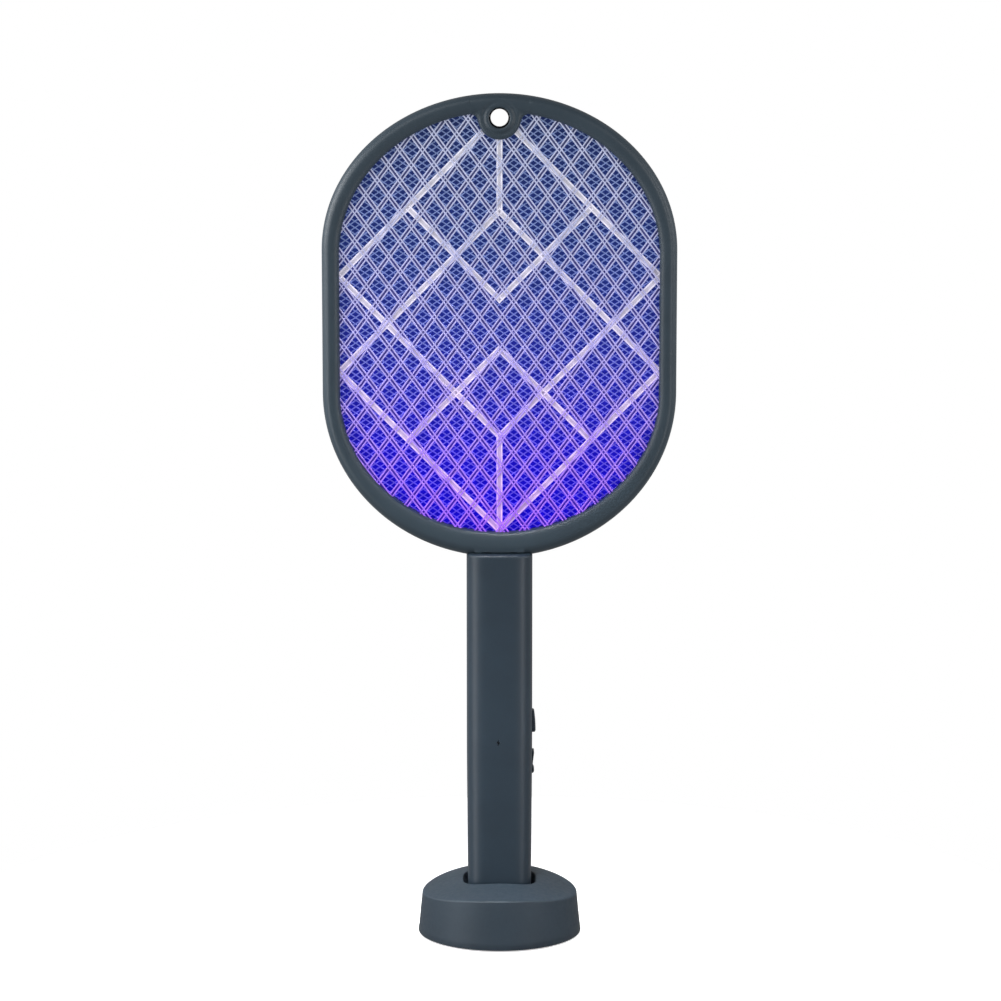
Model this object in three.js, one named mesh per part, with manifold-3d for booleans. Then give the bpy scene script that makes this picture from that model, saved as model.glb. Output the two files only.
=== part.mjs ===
// Electric fly swatter standing in its charging base.
// Millimetres, +Z up, the front faces -Y, origin under the middle of the base at table height.
import * as THREE from "three";
import { mergeVertices } from "three/addons/utils/BufferGeometryUtils.js";
import Module from "manifold-3d";

const wasm = await Module();
wasm.setup();
const { Manifold, Mesh: ManifoldMesh } = wasm;

// ---------------------------------------------------------------- driving dimensions
const GAP = 0.3; // clearance left between touching pieces
const SPLIT = 0.15; // each half shell stops this far from the middle plane y = 0

// Head: two nested outlines, each a half ellipse over straight sides over a half ellipse.
const OUTER = { halfWidth: 105, topCentre: 413.5, topRise: 92, lowCentre: 329.2, lowDrop: 98.7 };
const INNER = { halfWidth: 94.5, topCentre: 410.8, topRise: 83.9, lowCentre: 328.5, lowDrop: 82.5 };
const ARC_STEPS = 18; // facets in each half ellipse
const BAND_DEPTH = 11; // from the middle plane to the crest of the frame
const LIP_DEPTH = 7.5; // frame depth at the edge of the opening
const LIP_BACK = 7.2; // the lip clamps the guards here
const CHANNEL_ROOF = 8.8; // depth of the hollow inside each frame half
const CHANNEL = { outer: 0.25, inner: 0.72 }; // the hollow's walls, as shares from the outer to the inner outline
const BAND_POWER = 2.4; // roundness of the frame's section
const GUARD_EDGE = 0.75; // guards and meshes reach this share of the way from outer to inner outline

// Hanging hole in the top of the frame.
const HOLE = { z: 491.2, radius: 5.74, flangeRadius: 13, bodyRadius: 11.5, crest: 10.2 };

// Layers of the head, as distances in front of and behind the middle plane.
const NET_LAYER = [5.9, 6.9];
const RIB_LAYER = [3.2, 5.6];
const MESH_LAYER = [2.4, 2.9];
const PANEL_HALF = 0.6;

// Rib pattern: diagonals at 45 degrees, named by where they cross the head's upright centre line.
const RIBS = { centre: 370, width: 3.6, outer: 123, middle: 66.5, cross: 14.8 };

// Coarse lattices that stand for the fine nets.
const NET_CELL = { width: 53.6, height: 71.5, strand: 3 };
const MESH_CELL = { width: 88.8, height: 60.8, strand: 2 };

// Handle: a squared-off oval section that narrows towards its foot.
const SECTION_POWER = 3.6;
const SECTION_STEPS = 28;
const HANDLE = { foot: 12.3, top: 233.5, wall: 2, topWall: 2.2 };
const HANDLE_OUTSIDE = [
  // [height, half width, half depth]
  [HANDLE.foot, 18.1, 15.1],
  [HANDLE.foot + 1.4, 18.9, 15.9],
  [60, 19.35, 16.35],
  [112, 19.7, 16.7],
  [HANDLE.top - 1.8, 19.7, 16.7],
  [HANDLE.top, 18.6, 15.6],
];
const HANDLE_INSIDE = [
  [HANDLE.foot - 1, 16.9, 13.9],
  [60, 17.0, 14.0],
  [112, HANDLE_OUTSIDE[3][1] - HANDLE.wall, HANDLE_OUTSIDE[3][2] - HANDLE.wall],
  [HANDLE.top - HANDLE.topWall, 17.7, 14.7],
];
const TANG = { halfWidth: 15, halfDepth: 8.9, bottom: 196, top: 237, channel: 7.6, channelDepth: 6.6 };

// Controls on the right-hand side of the handle.
const TRIGGER = { low: 123.8, high: 137, halfDepth: 3.8, centre: 130.4, proud: 2.1, travel: 1.2 };
const SLIDER = { low: 98.7, high: 112.2, halfDepth: 4, proud: 1.2, travel: 4, recess: 0.8 };
const SLIDER_POST = { low: 103.8, high: 106.8, halfDepth: 1.2 };
const LENS = { x: -0.7, z: 119.9, halfWidth: 1.25, halfHeight: 2.2 };

// Inside the handle.
const BOARD = { back: -5.2, thickness: 1.6, left: -13, right: 13.2, low: 101, high: 188 };
const BATTERY = { radius: 9.2, y: 4, low: 30, high: 95 };
const LEAD_RADIUS = 0.65;

// Screws.
const FRAME_SCREW = { share: 0.457, head: 2.2, shank: 1, boss: 2.7, headTop: 9.4, headLow: 8, tip: -6.5 };
const FRAME_SCREW_PLACES = [48, 132, 180, 0, 222, 318]; // degrees round the head
const HANDLE_SCREW = { x: 11, head: 2.5, shank: 1.2, boss: 3.2, headBack: 13.6, headFront: 11.6 };
const HANDLE_SCREW_HEIGHTS = { foot: 22, neck: 212 };

// Base: a drafted round wall under a top that falls away more to the sides than to the front.
const BASE = { radius: 49.3, draft: 0.1, low: 0.8, crown: 35.2, fallX: 0.0046, fallY: 0.0023, wall: 2.2 };
const BASE_STEPS = 40;
const RIM_ROUND = 1.1;
const SOCKET = { floor: 12, floorThickness: 2, wall: 2, snug: [19.6, 16.6], mouth: [21.7, 19], flareLow: 22, flareHigh: 28 };
const PIN = { x: 7, radius: 0.95, tip: 13.2, foot: 8.4, barrel: 1.5, bore: 1.2 };
const COVER = { radius: 46.6, top: 2.8 };
const FOOT = { radius: 5, spread: 39, degrees: [45, 135, 225, 315], top: 1.9 };
const BASE_SCREW = { radius: 33.4, degrees: [30, 150, 270], head: 2.6, shank: 1.1, boss: 3 };
const USB = { halfWidth: 4.47, low: 6.5, high: 9.76, front: 40.6, mouth: 47.9, skin: 0.3 };

// ---------------------------------------------------------------- colours
const SLATE = [0x3a444e, 0.55, 0];
const DARK = [0x2b333b, 0.6, 0];
const WHITE_RIB = [0xe4e0f0, 0.5, 0];
const NET_METAL = [0xc4c4dc, 0.4, 0.8];
const MESH_METAL = [0x8a90dc, 0.4, 0.8];
const BLUE_PANEL = [0x1c2ca0, 0.4, 0];
const STEEL = [0x9a9ea4, 0.35, 1];
const BRASS = [0xc8a860, 0.35, 1];
const BOARD_GREEN = [0x1f5a3a, 0.6, 0];
const BATTERY_BLUE = [0x2a66b0, 0.5, 0];
const RUBBER = [0x1c1e20, 0.9, 0];
const CLEAR = [0xdfe6f2, 0.2, 0];

// ---------------------------------------------------------------- solids
const radians = (degrees) => (degrees * Math.PI) / 180;

// A closed three.js geometry as a manifold-3d solid.
function solid(geometry) {
  const plain = geometry.index ? geometry.toNonIndexed() : geometry;
  const points = new THREE.BufferGeometry().setAttribute("position", plain.getAttribute("position"));
  const merged = mergeVertices(points, 1e-4);
  return new Manifold(
    new ManifoldMesh({
      numProp: 3,
      vertProperties: merged.attributes.position.array,
      triVerts: new Uint32Array(merged.index.array),
    }),
  );
}

// A manifold-3d solid as a three.js geometry.
function geometryOf(made) {
  const mesh = made.getMesh();
  const positions = new Float32Array(mesh.numVert * 3);
  for (let i = 0; i < mesh.numVert; i++) {
    positions.set(mesh.vertProperties.subarray(i * mesh.numProp, i * mesh.numProp + 3), i * 3);
  }
  const geometry = new THREE.BufferGeometry();
  geometry.setAttribute("position", new THREE.BufferAttribute(positions, 3));
  geometry.setIndex(new THREE.BufferAttribute(mesh.triVerts, 1));
  geometry.computeVertexNormals();
  return geometry;
}

const joined = (solids) => solids.reduce((all, next) => all.add(next));
const cutBy = (body, tools) => tools.reduce((left, tool) => left.subtract(tool), body);

function box([x0, x1], [y0, y1], [z0, z1]) {
  const geometry = new THREE.BoxGeometry(x1 - x0, y1 - y0, z1 - z0);
  return solid(geometry.translate((x0 + x1) / 2, (y0 + y1) / 2, (z0 + z1) / 2));
}

// An upright cylinder from z = low to z = high.
function post(radius, x, y, [low, high], sides = 20) {
  const geometry = new THREE.CylinderGeometry(radius, radius, high - low, sides);
  return solid(geometry.rotateX(Math.PI / 2).translate(x, y, (low + high) / 2));
}

// A cylinder along Y, from y = front to y = back.
function rod(radius, x, z, [front, back], sides = 20) {
  const geometry = new THREE.CylinderGeometry(radius, radius, back - front, sides);
  return solid(geometry.translate(x, (front + back) / 2, z));
}

// A cylinder along X, from x = left to x = right.
function crossRod(radius, y, z, [left, right], sides = 20) {
  const geometry = new THREE.CylinderGeometry(radius, radius, right - left, sides);
  return solid(geometry.rotateZ(Math.PI / 2).translate((left + right) / 2, y, z));
}

// A flat plate whose outline is a list of [x, z], lying between y = front and y = back.
function plate(outline, [front, back]) {
  const shape = new THREE.Shape(outline.map(([x, z]) => new THREE.Vector2(x, z)));
  const geometry = new THREE.ExtrudeGeometry(shape, { depth: back - front, bevelEnabled: false });
  return solid(geometry.rotateX(Math.PI / 2).translate(0, back, 0));
}

// A solid skinned over rings of points. A loop of rings closes on itself, and a row of rings gets end caps.
function skinned(rings, isLoop = false) {
  const count = rings[0].length;
  const positions = rings.flat().flat();
  const at = (ring, i) => (ring % rings.length) * count + (i % count);
  const faces = [];
  for (let ring = 0; ring < rings.length - (isLoop ? 0 : 1); ring++) {
    for (let i = 0; i < count; i++) {
      faces.push(at(ring, i), at(ring, i + 1), at(ring + 1, i + 1));
      faces.push(at(ring, i), at(ring + 1, i + 1), at(ring + 1, i));
    }
  }
  for (let i = 1; i < count - 1 && !isLoop; i++) {
    faces.push(at(0, 0), at(0, i + 1), at(0, i));
    faces.push(at(rings.length - 1, 0), at(rings.length - 1, i), at(rings.length - 1, i + 1));
  }
  const build = () => {
    const geometry = new THREE.BufferGeometry();
    geometry.setAttribute("position", new THREE.Float32BufferAttribute(positions, 3));
    geometry.setIndex(faces.slice());
    return solid(geometry);
  };
  const made = build();
  if (made.volume() > 0) return made;
  faces.reverse();
  return build();
}

// ---------------------------------------------------------------- the head's outline
// One point of an outline, at an angle round the head: 90 is the top and 270 the bottom.
function outlinePoint(outline, degrees) {
  const x = outline.halfWidth * Math.cos(radians(degrees));
  const rise = Math.sin(radians(degrees));
  if (rise >= 0 && degrees <= 180) return [x, outline.topCentre + outline.topRise * rise];
  return [x, outline.lowCentre + outline.lowDrop * rise];
}

// A point a share of the way from the outer outline (0) to the inner one (1).
function headPoint(degrees, share) {
  const [outer, inner] = [outlinePoint(OUTER, degrees), outlinePoint(INNER, degrees)];
  return outer.map((value, i) => value + (inner[i] - value) * share);
}

// The stations round the head. The two straight sides lie between the half ellipses.
const UPPER_STATIONS = Array.from({ length: ARC_STEPS + 1 }, (_, i) => (180 * i) / ARC_STEPS);
const LOWER_STATIONS = UPPER_STATIONS.map((degrees) => 180.0001 + degrees * 0.999998);
const STATIONS = [...UPPER_STATIONS, ...LOWER_STATIONS];

const headOutline = (share) => STATIONS.map((degrees) => headPoint(degrees, share));

// Distance from the middle plane to the frame's outer skin, across the band.
function bandDepth(share) {
  const round = (1 - Math.abs(2 * share - 1) ** BAND_POWER) ** (1 / BAND_POWER);
  return share < 0.5 ? BAND_DEPTH * round : LIP_DEPTH + (BAND_DEPTH - LIP_DEPTH) * round;
}

// A ring that runs round the head, from a section given as [share, y] points.
const headRing = (section) =>
  skinned(
    STATIONS.map((degrees) =>
      section.map(([share, y]) => {
        const [x, z] = headPoint(degrees, share);
        return [x, y, z];
      }),
    ),
    true,
  );

// ---------------------------------------------------------------- the handle's section
// An upright slab with the squared-off oval section, from rows of [height, half width, half depth].
function ovalSlab(rows) {
  const rings = rows.map(([z, halfWidth, halfDepth]) =>
    Array.from({ length: SECTION_STEPS }, (_, i) => {
      const angle = (2 * Math.PI * i) / SECTION_STEPS;
      const share = (value) => Math.sign(value) * Math.abs(value) ** (2 / SECTION_POWER);
      return [halfWidth * share(Math.cos(angle)), halfDepth * share(Math.sin(angle)), z];
    }),
  );
  return skinned(rings);
}

// ---------------------------------------------------------------- head pieces
const frameScrewSpots = FRAME_SCREW_PLACES.map((degrees) => headPoint(degrees, FRAME_SCREW.share));

// One half of the frame: a hollow rounded band, the hanging eye, the screw posts and half of the tang.
// side is -1 for the front half and 1 for the rear half.
function frameHalf(side) {
  const span = (near, far) => [side * near, side * far].sort((a, b) => a - b);
  const skin = [0.04, 0.2, 0.5, 0.8, 0.97].map((share) => [share, side * bandDepth(share)]);
  const section = [
    [0, side * SPLIT],
    ...skin,
    [1, side * LIP_BACK],
    [CHANNEL.inner, side * LIP_BACK],
    [CHANNEL.inner, side * CHANNEL_ROOF],
    [CHANNEL.outer, side * CHANNEL_ROOF],
    [0.2, side * SPLIT],
  ];
  const posts = frameScrewSpots.map(([x, z]) => rod(FRAME_SCREW.boss, x, z, span(SPLIT, CHANNEL_ROOF + 0.2), 8));
  const tang = box(
    [-TANG.halfWidth, TANG.halfWidth],
    span(SPLIT, TANG.halfDepth),
    [TANG.bottom, TANG.top],
  );
  const body = joined([
    headRing(section),
    rod(HOLE.flangeRadius, 0, HOLE.z, span(LIP_BACK, HOLE.crest), 24),
    rod(HOLE.bodyRadius, 0, HOLE.z, span(SPLIT, LIP_BACK + 0.2), 24),
    ...posts,
    tang,
  ]);
  const wireWay = box([-TANG.channel, TANG.channel], span(-1, TANG.channelDepth), [TANG.bottom - 1, 246]);
  const strapRoom = headRing([
    [0.3, side * SPLIT - side],
    [0.3, side * LIP_BACK],
    [CHANNEL.inner, side * LIP_BACK],
    [CHANNEL.inner, side * SPLIT - side],
  ]).intersect(box([-40, 40], [-8, 8], [220, 250]));
  const screwHoles = frameScrewSpots.map(([x, z]) => rod(FRAME_SCREW.shank + GAP, x, z, [-7, 20], 8));
  const headHoles = frameScrewSpots.map(([x, z]) => rod(FRAME_SCREW.head + GAP, x, z, [FRAME_SCREW.headLow - GAP, 20], 8));
  const tangHoles = [-1, 1].map((end) =>
    rod(HANDLE_SCREW.shank + GAP, end * HANDLE_SCREW.x, HANDLE_SCREW_HEIGHTS.neck, [-20, 20], 10),
  );
  return cutBy(body, [
    rod(HOLE.radius, 0, HOLE.z, [-20, 20], 24),
    wireWay,
    strapRoom,
    ...tangHoles,
    ...screwHoles,
    ...(side > 0 ? headHoles : []),
  ]);
}

// The flat outline that every layer of the head shares, with a bite out of it for the hanging eye.
function headLayer([front, back]) {
  const eye = rod(HOLE.bodyRadius + GAP, 0, HOLE.z, [front - 1, back + 1], 24);
  return plate(headOutline(GUARD_EDGE), [front, back]).subtract(eye);
}

// A straight bar between two [x, z] points, as a flat plate.
function bar([x0, z0], [x1, z1], width, layer) {
  const length = Math.hypot(x1 - x0, z1 - z0);
  const [sideX, sideZ] = [(-(z1 - z0) / length) * (width / 2), ((x1 - x0) / length) * (width / 2)];
  const corners = [
    [x0 + sideX, z0 + sideZ],
    [x0 - sideX, z0 - sideZ],
    [x1 - sideX, z1 - sideZ],
    [x1 + sideX, z1 + sideZ],
  ];
  return plate(corners, layer);
}

// A rim round the edge of a head layer, from GUARD_EDGE to a given share.
function layerRim(layer, share) {
  const window = plate(headOutline(share), [layer[0] - 1, layer[1] + 1]);
  const eye = rod(HOLE.bodyRadius + 3, 0, HOLE.z, layer, 28);
  return headLayer(layer).subtract(window.subtract(eye));
}

const layerSpan = (side, [near, far]) => [side * near, side * far].sort((a, b) => a - b);

// Lays strands across a head layer and joins them to its rim, halfway across the rim.
function rimmed(strands, layer, rimShare) {
  const reach = plate(headOutline((GUARD_EDGE + rimShare) / 2), [layer[0] - 1, layer[1] + 1]);
  const eye = rod(HOLE.bodyRadius + 1.5, 0, HOLE.z, [layer[0] - 1, layer[1] + 1], 24);
  return joined(strands).intersect(reach.subtract(eye)).add(layerRim(layer, rimShare));
}

// Two arms that run from an apex on the centre line, up when slope is 1 and down when it is -1.
function chevron(apex, slope, span, width, layer) {
  const half = width / Math.SQRT2;
  const edge = (shift) => [
    [-span, apex + slope * span + shift],
    [0, apex + shift],
    [span, apex + slope * span + shift],
  ];
  return plate([...edge(-half), ...edge(half).toReversed()], layer);
}

// The white rib guard: nested diagonals, mirrored top to bottom.
function ribGuard(side) {
  const layer = layerSpan(side, RIB_LAYER);
  const { outer, middle, cross, width, centre } = RIBS;
  const crossSpan = (outer - cross) / 2;
  const ribs = [-1, 1].flatMap((up) => [
    chevron(centre + up * outer, -up, 110, width, layer),
    chevron(centre + up * middle, -up, 110, width, layer),
    chevron(centre + up * cross, up, crossSpan, width, layer),
    bar([0, centre + up * middle], [0, centre + up * (outer + 10)], width, layer),
  ]);
  return rimmed(ribs, layer, 0.98);
}

// A diamond lattice between crossing strands, with a rim. Its pitch is far coarser than the real net's.
function lattice(layer, { width, height, strand }, rimShare) {
  const reach = 260;
  const rise = (reach * height) / width;
  const count = Math.ceil(reach / width);
  const strands = [];
  for (let i = -count; i <= count; i++) {
    const [left, right] = [i * width - reach, i * width + reach];
    strands.push(bar([left, RIBS.centre - rise], [right, RIBS.centre + rise], strand, layer));
    strands.push(bar([left, RIBS.centre + rise], [right, RIBS.centre - rise], strand, layer));
  }
  return rimmed(strands, layer, rimShare);
}

const safetyNet = (side) => lattice(layerSpan(side, NET_LAYER), NET_CELL, 0.92);
const highVoltageMesh = (side) => lattice(layerSpan(side, MESH_LAYER), MESH_CELL, 0.92);
const lightPanel = () => headLayer([-PANEL_HALF, PANEL_HALF]);

// The curved strip board that carries the lamps, low in the frame's channel.
const STRIP = { from: 250, to: 290, outer: 0.4, inner: 0.47, halfDepth: 3.4 };
function lampStrip() {
  const steps = 10;
  const along = Array.from({ length: steps + 1 }, (_, i) => STRIP.from + ((STRIP.to - STRIP.from) * i) / steps);
  const outline = [
    ...along.map((degrees) => headPoint(degrees, STRIP.outer)),
    ...along.toReversed().map((degrees) => headPoint(degrees, STRIP.inner)),
  ];
  return plate(outline, [-STRIP.halfDepth, STRIP.halfDepth]);
}

// One ultraviolet lamp on the strip, facing the panel's lower edge.
const LAMP = { halfLength: 1.75, halfDepth: 1.4, from: 0.495, to: 0.585 };
const LAMP_PLACES = [255, 265, 275, 285];
function lamp(degrees) {
  const [low, high] = [headPoint(degrees, LAMP.from), headPoint(degrees, LAMP.to)];
  return bar(low, high, 2 * LAMP.halfLength, [-LAMP.halfDepth, LAMP.halfDepth]);
}

// A round insulated lead through a list of points.
function lead(points) {
  const path = new THREE.CatmullRomCurve3(points.map((point) => new THREE.Vector3(...point)));
  const section = new THREE.Shape();
  section.absarc(0, 0, LEAD_RADIUS, 0, 2 * Math.PI);
  const options = { steps: 9, curveSegments: 4, extrudePath: path, bevelEnabled: false };
  return solid(new THREE.ExtrudeGeometry(section, options));
}

// ---------------------------------------------------------------- handle pieces
// The band's outer skin with a little room round it, for the handle's top to clear.
function frameClearance() {
  const shares = [0.02, 0.15, 0.38, 0.62, 0.88];
  const front = shares.map((share) => [share - 0.04, -bandDepth(share) - GAP]);
  const back = shares.toReversed().map((share) => [share - 0.04, bandDepth(share) + GAP]);
  return headRing([[-0.04, 0], ...front, ...back]);
}

const triggerWindow = (room) =>
  box([14, 24], [-TRIGGER.halfDepth - room, TRIGGER.halfDepth + room], [TRIGGER.low - room, TRIGGER.high + room]);

// A lightning-bolt outline for the charge light, a little larger when room is given.
function boltOutline(room) {
  const [w, h] = [LENS.halfWidth + room, LENS.halfHeight + room];
  const corners = [
    [0.35, 1],
    [-1, -0.15],
    [-0.12, -0.15],
    [-0.35, -1],
    [1, 0.15],
    [0.12, 0.15],
  ];
  return corners.map(([x, z]) => [LENS.x + x * w, LENS.z + z * h]);
}

// One half of the handle. side is -1 for the front shell and 1 for the rear shell.
function handleShell(side) {
  const span = (near, far) => [side * near, side * far].sort((a, b) => a - b);
  const half = box([-30, 30], span(SPLIT, 30), [0, 260]);
  const outside = ovalSlab(HANDLE_OUTSIDE);
  const inside = ovalSlab(HANDLE_INSIDE);
  const screwEnds = [-1, 1].flatMap((end) =>
    Object.values(HANDLE_SCREW_HEIGHTS).map((z) => [end * HANDLE_SCREW.x, z]),
  );
  const posts = screwEnds.map(([x, z]) => {
    const start = z === HANDLE_SCREW_HEIGHTS.neck ? TANG.halfDepth + GAP : SPLIT;
    return rod(HANDLE_SCREW.boss, x, z, span(start, 16), 12);
  });
  const shell = outside.subtract(inside).add(joined(posts).intersect(outside)).intersect(half);
  const neck = box(
    [-TANG.halfWidth - GAP, TANG.halfWidth + GAP],
    [-TANG.halfDepth - GAP, TANG.halfDepth + GAP],
    [HANDLE.top - 4, HANDLE.top + 4],
  );
  const slotRoom = 0.4;
  const sliderSlot = box(
    [12, 24],
    [-SLIDER_POST.halfDepth - slotRoom, SLIDER_POST.halfDepth + slotRoom],
    [SLIDER_POST.low - slotRoom, SLIDER_POST.high + SLIDER.travel + slotRoom],
  );
  const sliderRecess = box(
    [19.7 - SLIDER.recess, 24],
    [-SLIDER.halfDepth - 0.6, SLIDER.halfDepth + 0.6],
    [SLIDER.low - 1.7, SLIDER.high + SLIDER.travel + 2],
  );
  const shanks = screwEnds.map(([x, z]) => rod(HANDLE_SCREW.shank + GAP, x, z, [-12, 20], 10));
  const heads = screwEnds.map(([x, z]) => rod(HANDLE_SCREW.head + GAP, x, z, [HANDLE_SCREW.headFront - GAP, 20], 12));
  const lensHole = plate(boltOutline(GAP), [-20, -10]);
  return cutBy(shell, [
    neck,
    frameClearance(),
    triggerWindow(GAP),
    sliderSlot,
    sliderRecess,
    ...shanks,
    side > 0 ? joined(heads) : lensHole,
  ]);
}

// The cap that closes the handle's foot, with a pocket and a pin hole for each contact.
const CONTACT = { halfWidth: 3.5, halfDepth: 2.5, low: 13.5, high: 14.3 };
const CAP_TOP = 15.3;
function endCap() {
  const slab = ovalSlab([
    [HANDLE.foot, 16.5, 13.5],
    [CAP_TOP, 16.5, 13.5],
  ]);
  const pockets = [-1, 1].flatMap((end) => [
    box(
      [end * PIN.x - CONTACT.halfWidth - GAP, end * PIN.x + CONTACT.halfWidth + GAP],
      [-CONTACT.halfDepth - GAP, CONTACT.halfDepth + GAP],
      [CONTACT.low - GAP, CAP_TOP + 1],
    ),
    post(PIN.radius + 0.6, end * PIN.x, 0, [HANDLE.foot - 1, CAP_TOP], 12),
  ]);
  return cutBy(slab, pockets);
}

const chargeContact = (end) =>
  box(
    [end * PIN.x - CONTACT.halfWidth, end * PIN.x + CONTACT.halfWidth],
    [-CONTACT.halfDepth, CONTACT.halfDepth],
    [CONTACT.low, CONTACT.high],
  );

// The trigger's cap slopes out towards its lower end, and its flange keeps it in the handle.
function triggerButton() {
  const face = 19.7;
  const outline = [
    [15.6, TRIGGER.low],
    [face + 1.6, TRIGGER.low],
    [face + TRIGGER.proud, TRIGGER.low + 0.8],
    [face + 1.9, TRIGGER.centre],
    [face + 1.3, TRIGGER.high - 0.8],
    [face + 0.7, TRIGGER.high],
    [15.6, TRIGGER.high],
  ];
  const flange = box([15.9, 17.1], [-5.2, 5.2], [TRIGGER.low - 1.5, TRIGGER.high + 1.5]);
  return plate(outline, [-TRIGGER.halfDepth, TRIGGER.halfDepth]).add(flange);
}

const triggerStem = () => crossRod(1.2, 0, TRIGGER.centre, [10.2, 15.3], 12);

function triggerSwitch() {
  const body = box([6.5, 13.2], [BOARD.back + GAP, 4], [TRIGGER.centre - 6, TRIGGER.centre + 6]);
  return body.subtract(crossRod(1.6, 0, TRIGGER.centre, [8.8, 14], 12));
}

// The slider's face is a saddle: a raised upper end, a dip for the thumb and a round nub below.
function modeSlider() {
  const [back, face] = [19.2, 19.7];
  const outline = [
    [back, SLIDER.low],
    [face + 0.5, SLIDER.low + 0.1],
    [face + 1.1, SLIDER.low + 0.9],
    [face + SLIDER.proud, SLIDER.low + 1.9],
    [face + 1.0, SLIDER.low + 2.9],
    [face + 0.3, SLIDER.low + 3.9],
    [face + 0.3, SLIDER.low + 5.3],
    [face + SLIDER.proud, SLIDER.high - 0.9],
    [face + 0.9, SLIDER.high - 0.1],
    [back, SLIDER.high],
  ];
  const stem = box([12.5, 19.6], [-SLIDER_POST.halfDepth, SLIDER_POST.halfDepth], [SLIDER_POST.low, SLIDER_POST.high]);
  return plate(outline, [-SLIDER.halfDepth, SLIDER.halfDepth]).add(stem);
}

function modeSwitch() {
  const body = box([7, 14.2], [BOARD.back + GAP, 4], [BOARD.low + 0.5, 113.5]);
  const way = box([11.5, 15], [-1.6, 1.6], [SLIDER_POST.low - 0.5, SLIDER_POST.high + SLIDER.travel + 0.5]);
  return body.subtract(way);
}

const boardRear = (y) => [BOARD.back + GAP, y];
const mainBoard = () => box([BOARD.left, BOARD.right], [BOARD.back - BOARD.thickness, BOARD.back], [BOARD.low, BOARD.high]);
const transformer = () =>
  joined([
    box([-10, 4], boardRear(3), [160, 176]),
    box([-8, 2], boardRear(9), [162.5, 173.5]),
  ]);
const capacitor = () => box([-10, 6], boardRear(4.5), [142, 154]);
const chargeLamp = () => {
  const face = BOARD.back - BOARD.thickness - GAP;
  const half = 1.6;
  return box([LENS.x - half, LENS.x + half], [face - 1.5, face], [LENS.z - half, LENS.z + half]);
};
const chargeLens = () => plate(boltOutline(0), [-16.6, -13]);
const batteryCell = () => {
  const terminal = post(3, 0, BATTERY.y, [BATTERY.high - 1.5, BATTERY.high], 16);
  return post(BATTERY.radius, 0, BATTERY.y, [BATTERY.low, BATTERY.high - 1.2], 28).add(terminal);
};

// The cradle runs behind the cell and turns round both of its ends.
function batteryCradle() {
  const ends = [
    [BATTERY.low - 4, BATTERY.low - 0.5],
    [BATTERY.high + 0.5, BATTERY.high + 4],
  ];
  const spine = box([-9.5, 9.5], [-8.2, -5.6], [ends[0][0], ends[1][1]]);
  return joined([spine, ...ends.map((span) => box([-9.5, 9.5], [-8.2, 8], span))]);
}

// ---------------------------------------------------------------- screws
// A screw along Y whose head is towards the rear.
function rearScrew(x, z, { head, shank }, [tip, neck, back]) {
  const slot = box([x - head * 0.7, x + head * 0.7], [back - 0.5, back + 1], [z - 0.35, z + 0.35]);
  return joined([rod(shank, x, z, [tip, neck + 0.1], 8), rod(head, x, z, [neck, back], 12)]).subtract(slot);
}

const frameScrew = ([x, z]) =>
  rearScrew(x, z, FRAME_SCREW, [FRAME_SCREW.tip, FRAME_SCREW.headLow, FRAME_SCREW.headTop]);
const handleScrew = (x, z) =>
  rearScrew(x, z, HANDLE_SCREW, [
    z === HANDLE_SCREW_HEIGHTS.neck ? -11.5 : -8,
    HANDLE_SCREW.headFront,
    HANDLE_SCREW.headBack,
  ]);

// ---------------------------------------------------------------- base pieces
const crownHeight = (x, y) => BASE.crown - BASE.fallX * x * x - BASE.fallY * y * y;

// The base's outer form, shrunk inwards by a wall thickness when inset is given.
function baseForm(inset, low) {
  const ring = (radiusAt, heightAt) =>
    Array.from({ length: BASE_STEPS }, (_, i) => {
      const angle = (2 * Math.PI * i) / BASE_STEPS;
      const [cos, sin] = [Math.cos(angle), Math.sin(angle)];
      const radius = radiusAt(cos, sin);
      return [radius * cos, radius * sin, heightAt(radius * cos, radius * sin)];
    });
  const top = (x, y) => crownHeight(x, y) - inset;
  const wallRadius = (z) => BASE.radius - BASE.draft * z - inset;
  const rimRadius = (cos, sin) => wallRadius(crownHeight(46.8 * cos, 46.8 * sin));
  const rings = [
    ring(() => wallRadius(low), () => low),
    ring(rimRadius, (x, y) => top(x, y) - RIM_ROUND),
    ring((cos, sin) => rimRadius(cos, sin) - RIM_ROUND, top),
    ...[0.75, 0.45].map((share) => ring(() => share * 46, top)),
  ];
  return skinned(rings);
}

// A spot on a circle round the base's middle.
const spotAt = (radius, degrees) => [radius * Math.cos(radians(degrees)), radius * Math.sin(radians(degrees))];
const baseScrewSpots = BASE_SCREW.degrees.map((degrees) => spotAt(BASE_SCREW.radius, degrees));
const footSpots = FOOT.degrees.map((degrees) => spotAt(FOOT.spread, degrees));

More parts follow.
